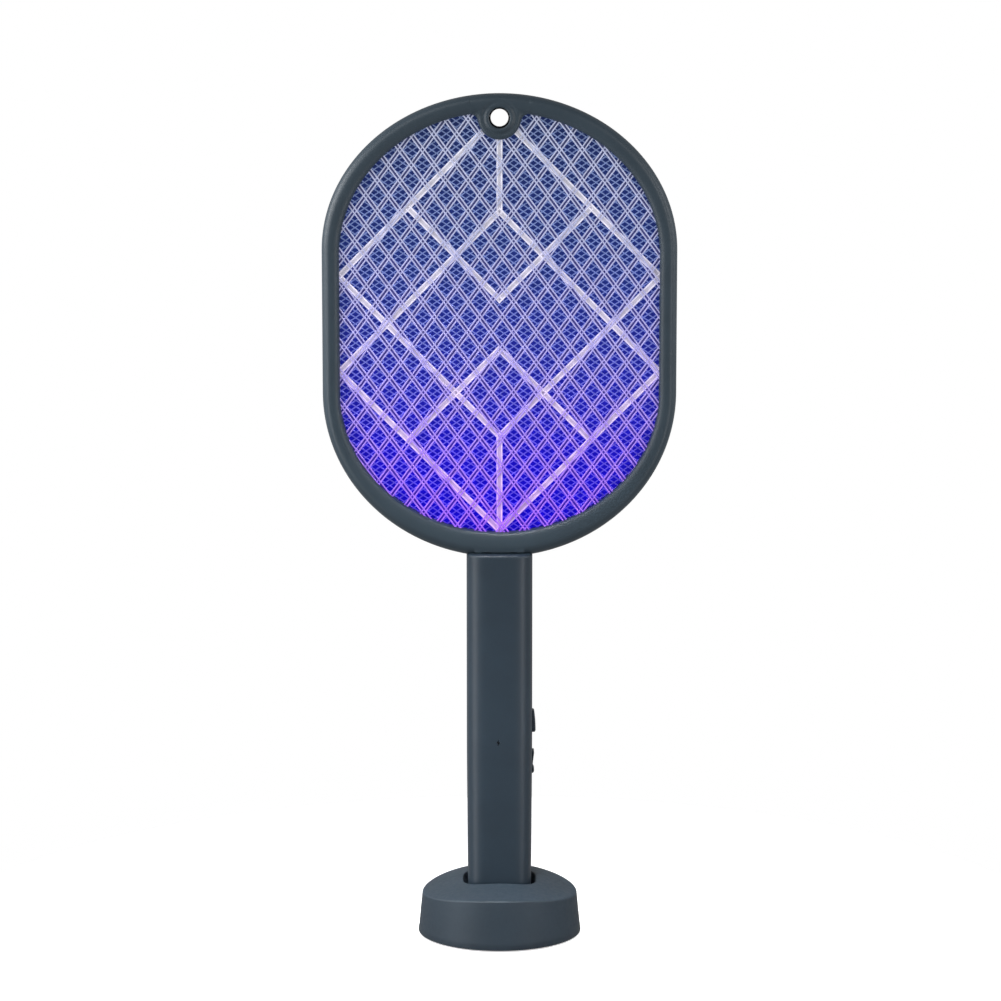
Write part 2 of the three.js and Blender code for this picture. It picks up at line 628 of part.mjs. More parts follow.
function baseUpperShell() {
  const form = baseForm(0, BASE.low);
  const hollow = baseForm(BASE.wall, BASE.low - 1);
  const [snugX, snugY] = SOCKET.snug;
  const [mouthX, mouthY] = SOCKET.mouth;
  const well = ovalSlab([
    [SOCKET.floor - SOCKET.floorThickness, snugX + SOCKET.wall, snugY + SOCKET.wall],
    [SOCKET.flareLow - 2, snugX + SOCKET.wall, snugY + SOCKET.wall],
    [SOCKET.flareHigh - 2, mouthX + SOCKET.wall, mouthY + SOCKET.wall],
    [50, mouthX + SOCKET.wall, mouthY + SOCKET.wall],
  ]);
  const cavity = ovalSlab([
    [SOCKET.floor, snugX, snugY],
    [SOCKET.flareLow, snugX, snugY],
    [SOCKET.flareHigh, mouthX, mouthY],
    [60, mouthX, mouthY],
  ]);
  const posts = baseScrewSpots.map(([x, y]) => post(BASE_SCREW.boss, x, y, [COVER.top + GAP, 33], 12));
  const shell = form.subtract(hollow).add(joined([well, ...posts]).intersect(form));
  const usbWindow = box([-USB.halfWidth - 0.5, USB.halfWidth + 0.5], [40, 60], [USB.low - 0.5, USB.high + 0.5]);
  return cutBy(shell, [
    cavity,
    usbWindow,
    ...[-1, 1].map((end) => post(PIN.barrel + 0.4, end * PIN.x, 0, [0, 20], 14)),
    ...baseScrewSpots.map(([x, y]) => post(BASE_SCREW.shank + GAP, x, y, [0, 16], 10)),
  ]);
}

function bottomCover() {
  const disc = post(COVER.radius, 0, 0, [BASE.low, COVER.top], 36);
  const pegs = [-1, 1].map((end) => post(1.5, end * 7, -6, [COVER.top - 0.5, 4.3], 10));
  return cutBy(joined([disc, ...pegs]), [
    ...footSpots.map(([x, y]) => post(FOOT.radius + GAP, x, y, [0, FOOT.top + GAP], 16)),
    ...baseScrewSpots.map(([x, y]) => post(BASE_SCREW.shank + GAP, x, y, [0, 5], 10)),
    ...baseScrewSpots.map(([x, y]) => post(BASE_SCREW.head + GAP, x, y, [0, 2], 12)),
  ]);
}

const rubberFoot = ([x, y]) => post(FOOT.radius, x, y, [0, FOOT.top], 16);
const baseBoard = () => box([-11, 11], [-10, 45], [4.6, 6.2]);
const baseScrew = ([x, y]) => {
  const slot = box([x - 1.8, x + 1.8], [y - 0.35, y + 0.35], [0, 1.3]);
  return joined([post(BASE_SCREW.head, x, y, [0.9, 1.7], 12), post(BASE_SCREW.shank, x, y, [1.6, 14], 8)]).subtract(slot);
};

// A sprung charging pin and the barrel that guides it.
const pinBarrel = (end) =>
  post(PIN.barrel, end * PIN.x, 0, [6.5, SOCKET.floor - GAP], 14).subtract(post(PIN.bore, end * PIN.x, 0, [7.2, 20], 14));
const contactPin = (end) => {
  const shaft = new THREE.LatheGeometry(
    [
      [0, PIN.foot],
      [PIN.radius, PIN.foot],
      [PIN.radius, PIN.tip - 0.5],
      [PIN.radius * 0.6, PIN.tip],
      [0, PIN.tip],
    ].map(([radius, z]) => new THREE.Vector2(radius, z)),
    12,
  );
  return solid(shaft.rotateX(Math.PI / 2).translate(end * PIN.x, 0, 0));
};

// The socket for the power lead: a thin metal sleeve round a contact tongue.
function usbPort() {
  const tube = box([-USB.halfWidth, USB.halfWidth], [USB.front, USB.mouth], [USB.low, USB.high]);
  const inside = box(
    [-USB.halfWidth + USB.skin, USB.halfWidth - USB.skin],
    [USB.front + 1, USB.mouth + 1],
    [USB.low + USB.skin, USB.high - USB.skin],
  );
  const middle = (USB.low + USB.high) / 2;
  const tongue = box([-3.3, 3.3], [USB.front + 0.5, USB.mouth - 1], [middle - 0.35, middle + 0.35]);
  return tube.subtract(inside).add(tongue);
}

// ---------------------------------------------------------------- assembly
const swatter = new THREE.Group();
const materials = new Map();

function finish([color, roughness, metalness]) {
  if (!materials.has(color)) {
    materials.set(color, new THREE.MeshStandardMaterial({ color, roughness, metalness }));
  }
  return materials.get(color);
}

function place(name, made, look) {
  const mesh = new THREE.Mesh(geometryOf(made), finish(look));
  mesh.name = name;
  swatter.add(mesh);
}

// Head
for (const [word, side] of [["front", -1], ["rear", 1]]) {
  place(`${word}_frame`, frameHalf(side), SLATE);
  place(`${word}_rib_guard`, ribGuard(side), WHITE_RIB);
  place(`${word}_safety_net`, safetyNet(side), NET_METAL);
  place(`${word}_hv_mesh`, highVoltageMesh(side), MESH_METAL);
}
place("light_panel", lightPanel(), BLUE_PANEL);
place("lamp_strip", lampStrip(), BOARD_GREEN);
LAMP_PLACES.forEach((degrees, i) => place(`uv_lamp_${i + 1}`, lamp(degrees), CLEAR));
frameScrewSpots.forEach((spot, i) => place(`frame_screw_${i + 1}`, frameScrew(spot), STEEL));

// Handle
place("handle_front_shell", handleShell(-1), SLATE);
place("handle_rear_shell", handleShell(1), SLATE);
place("handle_end_cap", endCap(), DARK);
place("charge_contact_left", chargeContact(-1), BRASS);
place("charge_contact_right", chargeContact(1), BRASS);
place("charge_light_lens", chargeLens(), CLEAR);
place("charge_light_lamp", chargeLamp(), CLEAR);
place("trigger_button", triggerButton(), DARK);
place("trigger_stem", triggerStem(), WHITE_RIB);
place("trigger_switch", triggerSwitch(), DARK);
place("mode_slider", modeSlider(), DARK);
place("mode_switch", modeSwitch(), STEEL);
place("main_board", mainBoard(), BOARD_GREEN);
place("hv_transformer", transformer(), BRASS);
place("hv_capacitor", capacitor(), BATTERY_BLUE);
place("battery_cell", batteryCell(), BATTERY_BLUE);
place("battery_cradle", batteryCradle(), DARK);
const frontWay = [
  [-3, -3, BOARD.high + GAP],
  [-3.2, -3, 200],
  [-3.5, -3, 214],
  [-4, -3.6, 226],
  [-5, -5.1, 233],
  [-7, -5.2, 238],
  [-9, -5.1, 240.2],
];
const rearWay = [
  [3, -3, BOARD.high + GAP],
  [3.2, 1, 200],
  [3.5, 3, 214],
  [4, 3.6, 226],
  [5, 5.1, 233],
  [7, 5.2, 238],
  [9, 5.1, 240.2],
];
const lampWay = [
  [0, -3, BOARD.high + GAP],
  [0, 0, 200],
  [0, 0, 218],
  [0, 0, 236.1],
];
place("hv_lead", lead(frontWay), BRASS);
place("ground_lead", lead(rearWay), RUBBER);
place("lamp_lead", lead(lampWay), WHITE_RIB);
[-1, 1].forEach((end, i) => {
  place(`handle_screw_${2 * i + 1}`, handleScrew(end * HANDLE_SCREW.x, HANDLE_SCREW_HEIGHTS.neck), STEEL);
  place(`handle_screw_${2 * i + 2}`, handleScrew(end * HANDLE_SCREW.x, HANDLE_SCREW_HEIGHTS.foot), STEEL);
});

// Base
place("base_upper_shell", baseUpperShell(), SLATE);
place("base_bottom_cover", bottomCover(), DARK);
footSpots.forEach((spot, i) => place(`rubber_foot_${i + 1}`, rubberFoot(spot), RUBBER));
place("base_board", baseBoard(), BOARD_GREEN);
place("usb_c_port", usbPort(), STEEL);
for (const [word, end] of [["left", -1], ["right", 1]]) {
  place(`pin_barrel_${word}`, pinBarrel(end), BRASS);
  place(`contact_pin_${word}`, contactPin(end), BRASS);
}
baseScrewSpots.forEach((spot, i) => place(`base_screw_${i + 1}`, baseScrew(spot), STEEL));

export default swatter;
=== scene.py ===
"""Electric fly swatter in its charging base: the looks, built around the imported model."""

import math

import bmesh
import bpy
import numpy as np
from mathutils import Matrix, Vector


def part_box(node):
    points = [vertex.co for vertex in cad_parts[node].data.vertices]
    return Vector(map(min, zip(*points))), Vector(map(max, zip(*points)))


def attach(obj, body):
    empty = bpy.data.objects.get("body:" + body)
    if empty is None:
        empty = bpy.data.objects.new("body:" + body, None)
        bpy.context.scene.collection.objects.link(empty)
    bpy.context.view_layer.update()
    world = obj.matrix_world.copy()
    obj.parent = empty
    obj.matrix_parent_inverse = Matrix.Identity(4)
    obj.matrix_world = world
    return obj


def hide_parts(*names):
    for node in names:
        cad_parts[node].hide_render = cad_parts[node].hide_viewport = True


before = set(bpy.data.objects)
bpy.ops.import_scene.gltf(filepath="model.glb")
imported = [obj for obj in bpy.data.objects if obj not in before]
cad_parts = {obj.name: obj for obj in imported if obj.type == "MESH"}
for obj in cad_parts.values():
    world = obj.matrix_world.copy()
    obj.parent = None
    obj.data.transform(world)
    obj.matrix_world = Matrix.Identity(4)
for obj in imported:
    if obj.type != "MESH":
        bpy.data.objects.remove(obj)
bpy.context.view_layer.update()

# ---------------- driving sizes, in millimetres
MM = 0.001
SEAM = 0.15  # each half shell stops this far from the middle plane y = 0


def node_box(name):
    """A CAD node's lowest and highest corners, in millimetres."""
    low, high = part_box(name)
    return low / MM, high / MM


# Head outlines: a half ellipse over straight sides over a half ellipse.
HEAD_HIGH = node_box("front_frame")[1]
TOP_RISE, BAND_WIDTH = 92, 10.5
OUTER = dict(half_width=HEAD_HIGH.x, top_centre=HEAD_HIGH.z - TOP_RISE, top_rise=TOP_RISE,
             low_centre=329.2, low_drop=98.7)
INNER = dict(half_width=HEAD_HIGH.x - BAND_WIDTH, top_centre=410.8, top_rise=83.9,
             low_centre=328.5, low_drop=82.5)
HEAD_CENTRE = 370
BAND_DEPTH, LIP_DEPTH, BAND_POWER = 11, 7.5, 2.4
EYE_Z, EYE_RADIUS, EYE_BODY = 491.2, 6.1, 12.7
DARK_RIM_RADIUS, DARK_RIM_HALF = 5.25, 7.6
NECK_HALF, NECK_FRONT, NECK_LOW, NECK_HIGH = 15.4, 10.6, 233.9, 236.6
TANG_HALF, TANG_DEPTH, TANG_BOTTOM, TANG_TOP = 15, 8.9, 196, 238

RIB = dict(width=3.6, outer=123, middle=66.5, cross=14.8, face=5.6, back=3.2, sunk=0.3)
NET = dict(cell=(13.37, 17.87), radius=0.42, spacing=2.0, front=6.75, back=6.05, node=(15.1, 481.6))
MESH = dict(cell=(5.68, 3.79), radius=0.38, front=2.75, back=2.45, node=(0, HEAD_CENTRE))
PANEL_HALF = 0.6
CLAMP = 0.45  # wires and ribs end this share of the way from the outer outline to the inner one

HANDLE_FOOT, HANDLE_TOP = node_box("handle_front_shell")[0].z, 233.5
SECTION_POWER = 3.6

BASE_RADIUS, BASE_DRAFT, BASE_LOW, BASE_CROWN = 49.3, 0.1, 0.8, 35.2
BASE_FALL_X, BASE_FALL_Y, BASE_RIM = 0.0046, 0.0023, 1.1
RIM_ABOUT = 46.8  # a first value of the rim's radius, which gives its height


# ---------------- mesh helpers
def smoothstep(low, high, value):
    t = np.clip((value - low) / (high - low), 0, 1)
    return t * t * (3 - 2 * t)


def shade(mesh, sharp_degrees):
    """Smooth shading with hard edges wherever two faces meet more sharply than this."""
    made = bmesh.new()
    made.from_mesh(mesh)
    limit = math.radians(sharp_degrees)
    for face in made.faces:
        face.smooth = True
    for edge in made.edges:
        edge.smooth = len(edge.link_faces) == 2 and edge.calc_face_angle(0) < limit
    made.to_mesh(mesh)
    made.free()


def linked(name, data):
    obj = bpy.data.objects.new(name, data)
    bpy.context.scene.collection.objects.link(obj)
    return obj


def new_object(name, vertices, faces, material=None, sharp=32, merge=True):
    """An object from millimetre vertices and faces, its normals pointing out. Cutters need no material."""
    mesh = bpy.data.meshes.new(name)
    mesh.from_pydata([tuple(v) for v in np.asarray(vertices, float) * MM], [], faces)
    made = bmesh.new()
    made.from_mesh(mesh)
    if merge:
        bmesh.ops.remove_doubles(made, verts=made.verts, dist=1e-7)
    bmesh.ops.recalc_face_normals(made, faces=made.faces)
    made.to_mesh(mesh)
    made.free()
    shade(mesh, sharp)
    if material:
        mesh.materials.append(material)
    return linked(name, mesh)


def lattice_faces(rows, columns, closed=False, start=0):
    """Quads over a grid of vertices. In a closed grid the last column joins the first."""
    faces = []
    for r in range(rows - 1):
        low = start + r * columns
        for c in range(columns if closed else columns - 1):
            after = (c + 1) % columns
            faces.append([low + c, low + after, low + columns + after, low + columns + c])
    return faces


def tube_faces(rows, around):
    """The faces of a tube of closed rings, with both ends closed."""
    last = (rows - 1) * around
    ends = [list(range(around))[::-1], list(range(last, last + around))]
    return lattice_faces(rows, around, closed=True) + ends


def loft(name, rings, material=None, close_ends=True):
    """A skin over closed rings of points, each ring an array of [x, y, z]."""
    rings = np.asarray(rings, float)
    rows, around = rings.shape[:2]
    faces = tube_faces(rows, around) if close_ends else lattice_faces(rows, around, closed=True)
    return new_object(name, rings.reshape(-1, 3), faces, material)


def lathe(profile, centre, axis, sides=48):
    """The rings of a turned shape, from [radius, height] points along an axis."""
    angles = np.linspace(0, 2 * math.pi, sides, endpoint=False)
    rings = []
    for radius, height in profile:
        u, v, w = radius * np.cos(angles), radius * np.sin(angles), np.full(sides, float(height))
        ring = {"z": (u, v, w), "y": (u, w, v), "x": (w, u, v)}[axis]
        rings.append(np.stack(ring, 1) + np.array(centre))
    return rings


def cut(obj, cutters, join=False):
    """Takes solids away from an object, or joins them to it, and deletes them."""
    tool = bpy.data.meshes.new("tool")
    made = bmesh.new()
    for cutter in cutters:
        made.from_mesh(cutter.data)
        bpy.data.objects.remove(cutter)
    made.to_mesh(tool)
    made.free()
    cutter = linked("tool", tool)
    step = obj.modifiers.new("cut", "BOOLEAN")
    step.operation = "UNION" if join else "DIFFERENCE"
    step.object = cutter
    step.solver = "EXACT"
    graph = bpy.context.evaluated_depsgraph_get()
    mesh = bpy.data.meshes.new_from_object(obj.evaluated_get(graph))
    obj.modifiers.clear()
    obj.data = mesh
    bpy.data.objects.remove(cutter)
    shade(mesh, 32)
    return obj


def rounded_rectangle(low, high, corner, steps=5):
    """The outline of a rectangle with rounded corners, from its low and high corners."""
    (u0, v0), (u1, v1) = low, high
    points = []
    for u, v, turn in ((u1, v1, 0), (u0, v1, 90), (u0, v0, 180), (u1, v0, 270)):
        u_middle = u - corner if u == u1 else u + corner
        v_middle = v - corner if v == v1 else v + corner
        for i in range(steps + 1):
            a = math.radians(turn + 90 * i / steps)
            points.append((u_middle + corner * math.cos(a), v_middle + corner * math.sin(a)))
    return points


def centred_rectangle(half_width, low, high, corner, steps=5):
    """A rounded rectangle with its middle at 0 across, from low to high the other way."""
    return rounded_rectangle((-half_width, low), (half_width, high), corner, steps)


def along_axis(axis, u, v, w):
    """Flat coordinates u, v and a distance w along an axis, as [x, y, z]."""
    return {"x": (w, u, v), "y": (u, w, v), "z": (u, v, w)}[axis]


def prism(name, outline, axis, low, high, material=None):
    """A solid with a flat outline, from low to high along an axis."""
    rings = [[along_axis(axis, u, v, w) for u, v in outline] for w in (low, high)]
    return loft(name, rings, material)


def turned(name, profile, centre, axis, material=None, sides=48):
    """A turned solid. Its [radius, height] profile starts and ends on the axis."""
    return loft(name, lathe(profile, centre, axis, sides), material, close_ends=False)


def bores(profile, centres, axis, sides=48):
    """The same turned cutter at each centre."""
    return [turned("bore", profile, centre, axis, sides=sides) for centre in centres]


def quarter_round(radius, steps):
    """A rounded edge, as [distance from the end, how far the skin is drawn in] pairs from the end on."""
    angles = np.radians(np.linspace(90, 0, steps))
    return [(radius * (1 - math.sin(a)), radius * (1 - math.cos(a))) for a in angles]


def gradual(value, rows, reach):
    """Interpolates [place, value] rows with their corners rounded over."""
    places, values = zip(*rows)
    return float(np.mean(np.interp(value + np.linspace(-reach, reach, 9), places, values)))


def piece(obj, body, slot, *nodes):
    """Says which body a piece rides on and the CAD nodes it stands for, which it hides. Its material slot is
    not used.
    """
    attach(obj, body)
    if nodes:
        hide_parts(*nodes)
    return obj


# ---------------- materials
def linear(colour):
    """An sRGB colour in 0 to 255 as a linear colour with alpha."""
    value = np.array(colour) / 255
    value = np.where(value <= 0.04045, value / 12.92, ((value + 0.055) / 1.055) ** 2.4)
    return (*value.tolist(), 1)


def new_material(name):
    """A material with nodes, its node tree and its Principled shader."""
    material = bpy.data.materials.new(name)
    material.use_nodes = True
    return material, material.node_tree, material.node_tree.nodes["Principled BSDF"]


def add_node(tree, kind, settings=(), **inputs):
    node = tree.nodes.new(kind)
    for attribute, value in dict(settings).items():
        setattr(node, attribute, value)
    for socket, value in inputs.items():
        target = node.inputs[socket.replace("_", " ")]
        if isinstance(value, bpy.types.NodeSocket):
            tree.links.new(value, target)
        else:
            target.default_value = value
    return node


def connect(tree, shader, **sources):
    """Links outputs to the shader's sockets. A socket's name has _ for each space."""
    for socket, source in sources.items():
        tree.links.new(source, shader.inputs[socket.replace("_", " ")])


def object_space(tree):
    """The piece's own space, so that a pattern moves with the piece."""
    return add_node(tree, "ShaderNodeTexCoord").outputs["Object"]


def noise(tree, scale, detail=2.0, stretch=None):
    space = object_space(tree)
    if stretch:
        space = add_node(tree, "ShaderNodeMapping", Vector=space, Scale=stretch).outputs["Vector"]
    return add_node(tree, "ShaderNodeTexNoise", Vector=space, Scale=scale, Detail=detail).outputs["Fac"]


def ramp(tree, factor, stops):
    node = add_node(tree, "ShaderNodeValToRGB", Fac=factor)
    elements = node.color_ramp.elements
    while len(elements) < len(stops):
        elements.new(0.5)
    for element, (position, colour) in zip(elements, stops):
        element.position = position
        element.color = colour
    return node.outputs["Color"]


def mapped(tree, value, low, high, to_low=0.0, to_high=1.0, **settings):
    """A value remapped from low..high to to_low..to_high, and held at both ends."""
    return add_node(tree, "ShaderNodeMapRange", settings, Value=value, From_Min=low, From_Max=high,
                    To_Min=to_low, To_Max=to_high).outputs["Result"]


def spread(tree, factor, middle, reach):
    """Noise remapped to a range of values round a middle one."""
    return mapped(tree, factor, 0.3, 0.7, middle - reach, middle + reach)


def tint(colour, share):
    return tuple(min(1, c * share) for c in colour[:3]) + (1,)


def grain(tree, scale, strength, depth, stretch=None):
    """A fine surface grain, as bump of a depth given in millimetres."""
    bump = add_node(tree, "ShaderNodeBump", Height=noise(tree, scale, stretch=stretch), Strength=strength,
                    Distance=depth * MM)
    return bump.outputs["Normal"]


def moulded_plastic(name, colour, roughness, specular=0.35, variation=0.08, depth=0.02, scale=2600):
    """Spark-eroded moulded plastic: a fine even grain, slight cloudiness and slight changes of gloss."""
    material, tree, shader = new_material(name)
    shader.inputs["Specular IOR Level"].default_value = specular
    colour = linear(colour)
    stops = [(0.3, tint(colour, 1 - variation)), (0.7, tint(colour, 1 + variation))]
    clouds = ramp(tree, noise(tree, 38, 3), stops)
    gloss = spread(tree, noise(tree, 420, 4), roughness, 0.05)
    connect(tree, shader, Base_Color=clouds, Roughness=gloss, Normal=grain(tree, scale, 0.5, depth))
    return material


def bare_metal(name, colour, roughness, stretch=(1, 1, 1), scale=900, depth=0.01):
    """Drawn or plated metal with fine drawing lines along one direction."""
    material, tree, shader = new_material(name)
    shader.inputs["Metallic"].default_value = 1.0
    streaks = noise(tree, scale, 3, stretch)
    shades = ramp(tree, streaks, [(0.3, tint(colour, 0.82)), (0.7, tint(colour, 1.12))])
    gloss = spread(tree, streaks, roughness + 0.01, 0.09)
    lines = grain(tree, scale * 2, 0.4, depth, stretch)
    connect(tree, shader, Base_Color=shades, Roughness=gloss, Normal=lines)
    return material


def rise_along(tree, axis, low, high):
    """0 at a distance of low from the origin along an axis and 1 at high, on both sides."""
    place = add_node(tree, "ShaderNodeSeparateXYZ", Vector=object_space(tree)).outputs[axis]
    away = add_node(tree, "ShaderNodeMath", {"operation": "ABSOLUTE"}, Value=place).outputs["Value"]
    return mapped(tree, away, low * MM, high * MM)


def multiplied(tree, colour, share):
    mixed = add_node(tree, "ShaderNodeMix", {"data_type": "RGBA", "blend_type": "MULTIPLY"})
    mixed.inputs["Factor"].default_value = 1.0
    tree.links.new(colour, mixed.inputs["A"])
    tree.links.new(share, mixed.inputs["B"])
    return mixed.outputs["Result"]


def grey(share):
    return (share, share, share, 1)


GLOW_LOW, GLOW_HIGH = 246, 495  # heights between which the head is lit


def lit_from_below(name, stops, glow, roughness, specular, scale=1500, recess=None):
    """A surface with the lamps' light painted into it: a painted tint that runs up the head, and part of it
    is emission. On the wires and ribs this is painted glow, as they are no lamps.
    """
    material, tree, shader = new_material(name)
    shader.inputs["Specular IOR Level"].default_value = specular
    shader.inputs["Emission Strength"].default_value = glow
    stops = [(position, linear(colour)) for position, colour in stops]
    colour = ramp(tree, rise_along(tree, "Z", GLOW_LOW, GLOW_HIGH), stops)
    colour = multiplied(tree, colour, ramp(tree, noise(tree, 260, 3), [(0.3, grey(0.82)), (0.7, grey(1))]))
    # Painted shade: darker towards the sunken middle of each rib.
    if recess:
        deep, high, share = recess
        shadow = ramp(tree, rise_along(tree, "Y", deep, high), [(0.0, grey(share)), (1.0, grey(1))])
        colour = multiplied(tree, colour, shadow)
    gloss = spread(tree, noise(tree, 600), roughness, 0.06)
    connect(tree, shader, Base_Color=colour, Emission_Color=colour, Roughness=gloss,
            Normal=grain(tree, scale, 0.3, 0.01))
    return material


SLATE = moulded_plastic("slate_plastic", (38, 50, 61), 0.42, 0.42)
FRAME_SLATE = moulded_plastic("frame_slate_plastic", (48, 61, 71), 0.46, 0.42)
BASE_SLATE = moulded_plastic("base_slate_plastic", (41, 52, 62), 0.56, 0.36)
DARK_SLATE = moulded_plastic("dark_slate_plastic", (28, 38, 48), 0.46)
BLACK_RUBBER = moulded_plastic("black_rubber", (24, 25, 27), 0.8, 0.2, 0.12, 0.05, 1800)
PANEL = lit_from_below(
    "lit_panel",
    [(0.0, (25, 8, 200)), (0.18, (30, 20, 186)), (0.42, (38, 44, 154)), (0.62, (40, 56, 130)),
     (1.0, (38, 52, 100))],
    0.5, 0.5, 0.15)
# Painted lamp light: the charged wires glow and run from violet low on the head to grey-blue at its top.
FINE_WIRE = lit_from_below(
    "charged_wire",
    [(0.0, (102, 74, 242)), (0.2, (118, 102, 240)), (0.45, (134, 144, 228)), (0.7, (138, 158, 214)),
     (1.0, (138, 156, 198))],
    0.3, 0.45, 0.3)
# Painted lamp light: the guard wires glow and run from violet low on the head to pale grey-blue at its top.
NET_WIRE = lit_from_below(
    "guard_wire",
    [(0.0, (160, 98, 238)), (0.2, (166, 132, 236)), (0.45, (176, 170, 228)), (0.7, (176, 180, 214)),
     (1.0, (182, 188, 212))],
    0.34, 0.35, 0.4)
# Painted shade: dark, faintly glowing strips behind the gap in each pair of guard wires.
NET_GAP_SHADE = lit_from_below(
    "guard_gap_shade",
    [(0.0, (82, 46, 200)), (0.4, (84, 78, 158)), (1.0, (84, 90, 126))],
    0.2, 0.6, 0.1)
# Painted lamp light: the ribs glow and run from pink-violet low on the head to pale grey at its top; painted
# shade darkens each rib's sunken middle.
RIB_PLASTIC = lit_from_below(
    "rib_plastic",
    [(0.0, (218, 174, 252)), (0.25, (228, 206, 252)), (0.55, (233, 227, 249)), (1.0, (232, 232, 242))],
    0.38, 0.42, 0.35, 1100, (RIB["face"] - RIB["sunk"], RIB["face"] - 0.06, 0.62))
STEEL = bare_metal("zinc_steel", (0.5, 0.5, 0.52, 1), 0.35)
GOLD = bare_metal("gold_flash", (0.78, 0.56, 0.24, 1), 0.3)
COPPER = bare_metal("copper_winding", (0.55, 0.25, 0.1, 1), 0.4, (1, 1, 12), 1400)
BOARD = moulded_plastic("circuit_board", (28, 92, 58), 0.4, 0.5, 0.15, 0.015, 1200)
CELL = moulded_plastic("cell_wrap", (40, 96, 170), 0.3, 0.5, 0.05, 0.01, 600)
FILM = moulded_plastic("capacitor_film", (44, 88, 160), 0.3, 0.5, 0.08, 0.02, 500)
WHITE = moulded_plastic("white_cover", (226, 226, 222), 0.5, 0.4, 0.04)
RED = moulded_plastic("red_cover", (170, 30, 30), 0.45, 0.4, 0.06)
CLEAR = moulded_plastic("clear_plastic", (196, 204, 214), 0.15, 0.5, 0.03, 0.005, 400)
CLEAR.node_tree.nodes["Principled BSDF"].inputs["Transmission Weight"].default_value = 0.7
MATT_BLACK = moulded_plastic("matt_black_plastic", (15, 17, 20), 0.7, 0.15)
LENS = moulded_plastic("smoked_lens", (9, 11, 16), 0.18, 0.5, 0.1, 0.004, 400)


# ---------------- the head's outline
def outline_point(outline, degrees):
    """Points of an outline: 90 is the top of the head and 270 the bottom."""
    degrees = np.asarray(degrees, float)
    x = outline["half_width"] * np.cos(np.radians(degrees))
    sine = np.sin(np.radians(degrees))
    top = outline["top_centre"] + outline["top_rise"] * sine
    low = outline["low_centre"] + outline["low_drop"] * sine
    return np.stack([x, np.where(degrees <= 180, top, low)], -1)


def head_point(degrees, share):
    """Points a share of the way from the outer outline to the inner one."""
    outer, inner = outline_point(OUTER, degrees), outline_point(INNER, degrees)
    share = np.asarray(share, float)[..., None]
    return outer + (inner - outer) * share


def head_outline(share):
    """The whole outline a share of the way across the band. Angles just past 180 are on its lower half."""
    upper = np.arange(0, 181, 1.5)
    return head_point(np.concatenate([upper, upper + 180.0001]), share)


def round_share(share):
    """The band's section: 0 at its edges and 1 along its crest."""
    return np.clip(1 - np.abs(2 * share - 1) ** BAND_POWER, 0, 1) ** (1 / BAND_POWER)


def band_height(share):
    """Distance of the frame's skin from the middle plane, across the band."""
    lip = LIP_DEPTH + (BAND_DEPTH - LIP_DEPTH) * round_share(share)
    return np.where(share < 0.5, np.maximum(BAND_DEPTH * round_share(share), SEAM), lip)


def share_of(x, z):
    """How far across the band a point of the head's top lies: 0 at the outer outline, 1 at the inner."""
    outer = 1 - np.hypot(x / OUTER["half_width"], (z - OUTER["top_centre"]) / OUTER["top_rise"])
    inner = np.hypot(x / INNER["half_width"], (z - INNER["top_centre"]) / INNER["top_rise"]) - 1
    return outer / np.maximum(outer + inner, 1e-9)


# ---------------- frame halves
EYE_FROM, EYE_TO = 80, 100  # the eye's patch of the frame lies between these angles
SECTION_TURNS = 14  # steps over each quarter of the band's section
EYE_GROOVE, EYE_GROOVE_WIDTH = 9.4, 1.25
EYE_LIP, EYE_LIP_ROUND, EYE_LIP_DROP = 7.6, 1.9, 1.6
COLLAR_WIDTH, COLLAR_POWER = 5.2, 2.2
FILLET = 6.5  # between the eye and the band, seen from the front
SOFTNESS = 0.35  # how gently the collar's skin runs into the band's
BAND_REACH = BAND_WIDTH + 0.3  # about the band's width at the head's top


def section_shares():
    """Shares across the band, close together where the skin turns down to the seam."""
    turn = np.linspace(0, math.pi / 2, SECTION_TURNS + 1)
    outside = (1 - np.cos(turn) ** (2 / BAND_POWER)) / 2
    return np.concatenate([outside, 1 - outside[-2::-1]])


def neck_height(x, z, height):
    """Raises the pad above the handle's top, where the neck leaves the frame."""
    across = 1 - smoothstep(NECK_HALF - 0.9, NECK_HALF + 0.3, np.abs(x))
    up = smoothstep(NECK_LOW - 0.5, NECK_LOW + 0.3, z) * (1 - smoothstep(NECK_HIGH, NECK_HIGH + 1.5, z))
    return np.maximum(height, NECK_FRONT * across * up)


def eye_distance(radius, share):
    """How far outside the joined outline of the eye and the band a point lies, with a fillet between them."""
    ring, band = radius - EYE_BODY, (share - 1) * BAND_REACH
    mixed = np.clip(0.5 + 0.5 * (ring - band) / FILLET, 0, 1)
    return ring * (1 - mixed) + band * mixed - FILLET * mixed * (1 - mixed)


def eye_height(x, z, share):
    """The skin's height near the eye: the band, a collar, a groove and a rolled lip round the hole."""
    radius = np.hypot(x, z - EYE_Z)
    ring = radius - EYE_BODY
    edge = ring + (eye_distance(radius, share) - ring) * smoothstep(0.5, 0.9, share)
    inside = np.clip(-edge / COLLAR_WIDTH, 0, 1)
    rise = (1 - (1 - inside) ** COLLAR_POWER) ** (1 / COLLAR_POWER)
    collar = np.where(edge < 0, LIP_DEPTH + (BAND_DEPTH - 0.4 - LIP_DEPTH) * rise, 0)
    band = np.where(share < 1, band_height(np.clip(share, 0, 1)), 0)
    extra = math.log(2) * np.exp(-np.abs(band - collar) / SOFTNESS)
    both = SOFTNESS * (np.logaddexp(band / SOFTNESS, collar / SOFTNESS) - extra)
    both = np.maximum(both, SEAM)
    up = (z - EYE_Z) / np.maximum(radius, 1e-6)
    valley = (0.75 - 0.3 * up) * np.exp(-(((radius - EYE_GROOVE) / EYE_GROOVE_WIDTH) ** 2))
    lip = EYE_LIP_DROP * (1 - np.sqrt(np.clip(1 - ((EYE_LIP - radius) / EYE_LIP_ROUND) ** 2, 0, 1)))
    return both - valley - np.where(radius < EYE_LIP, lip, 0)


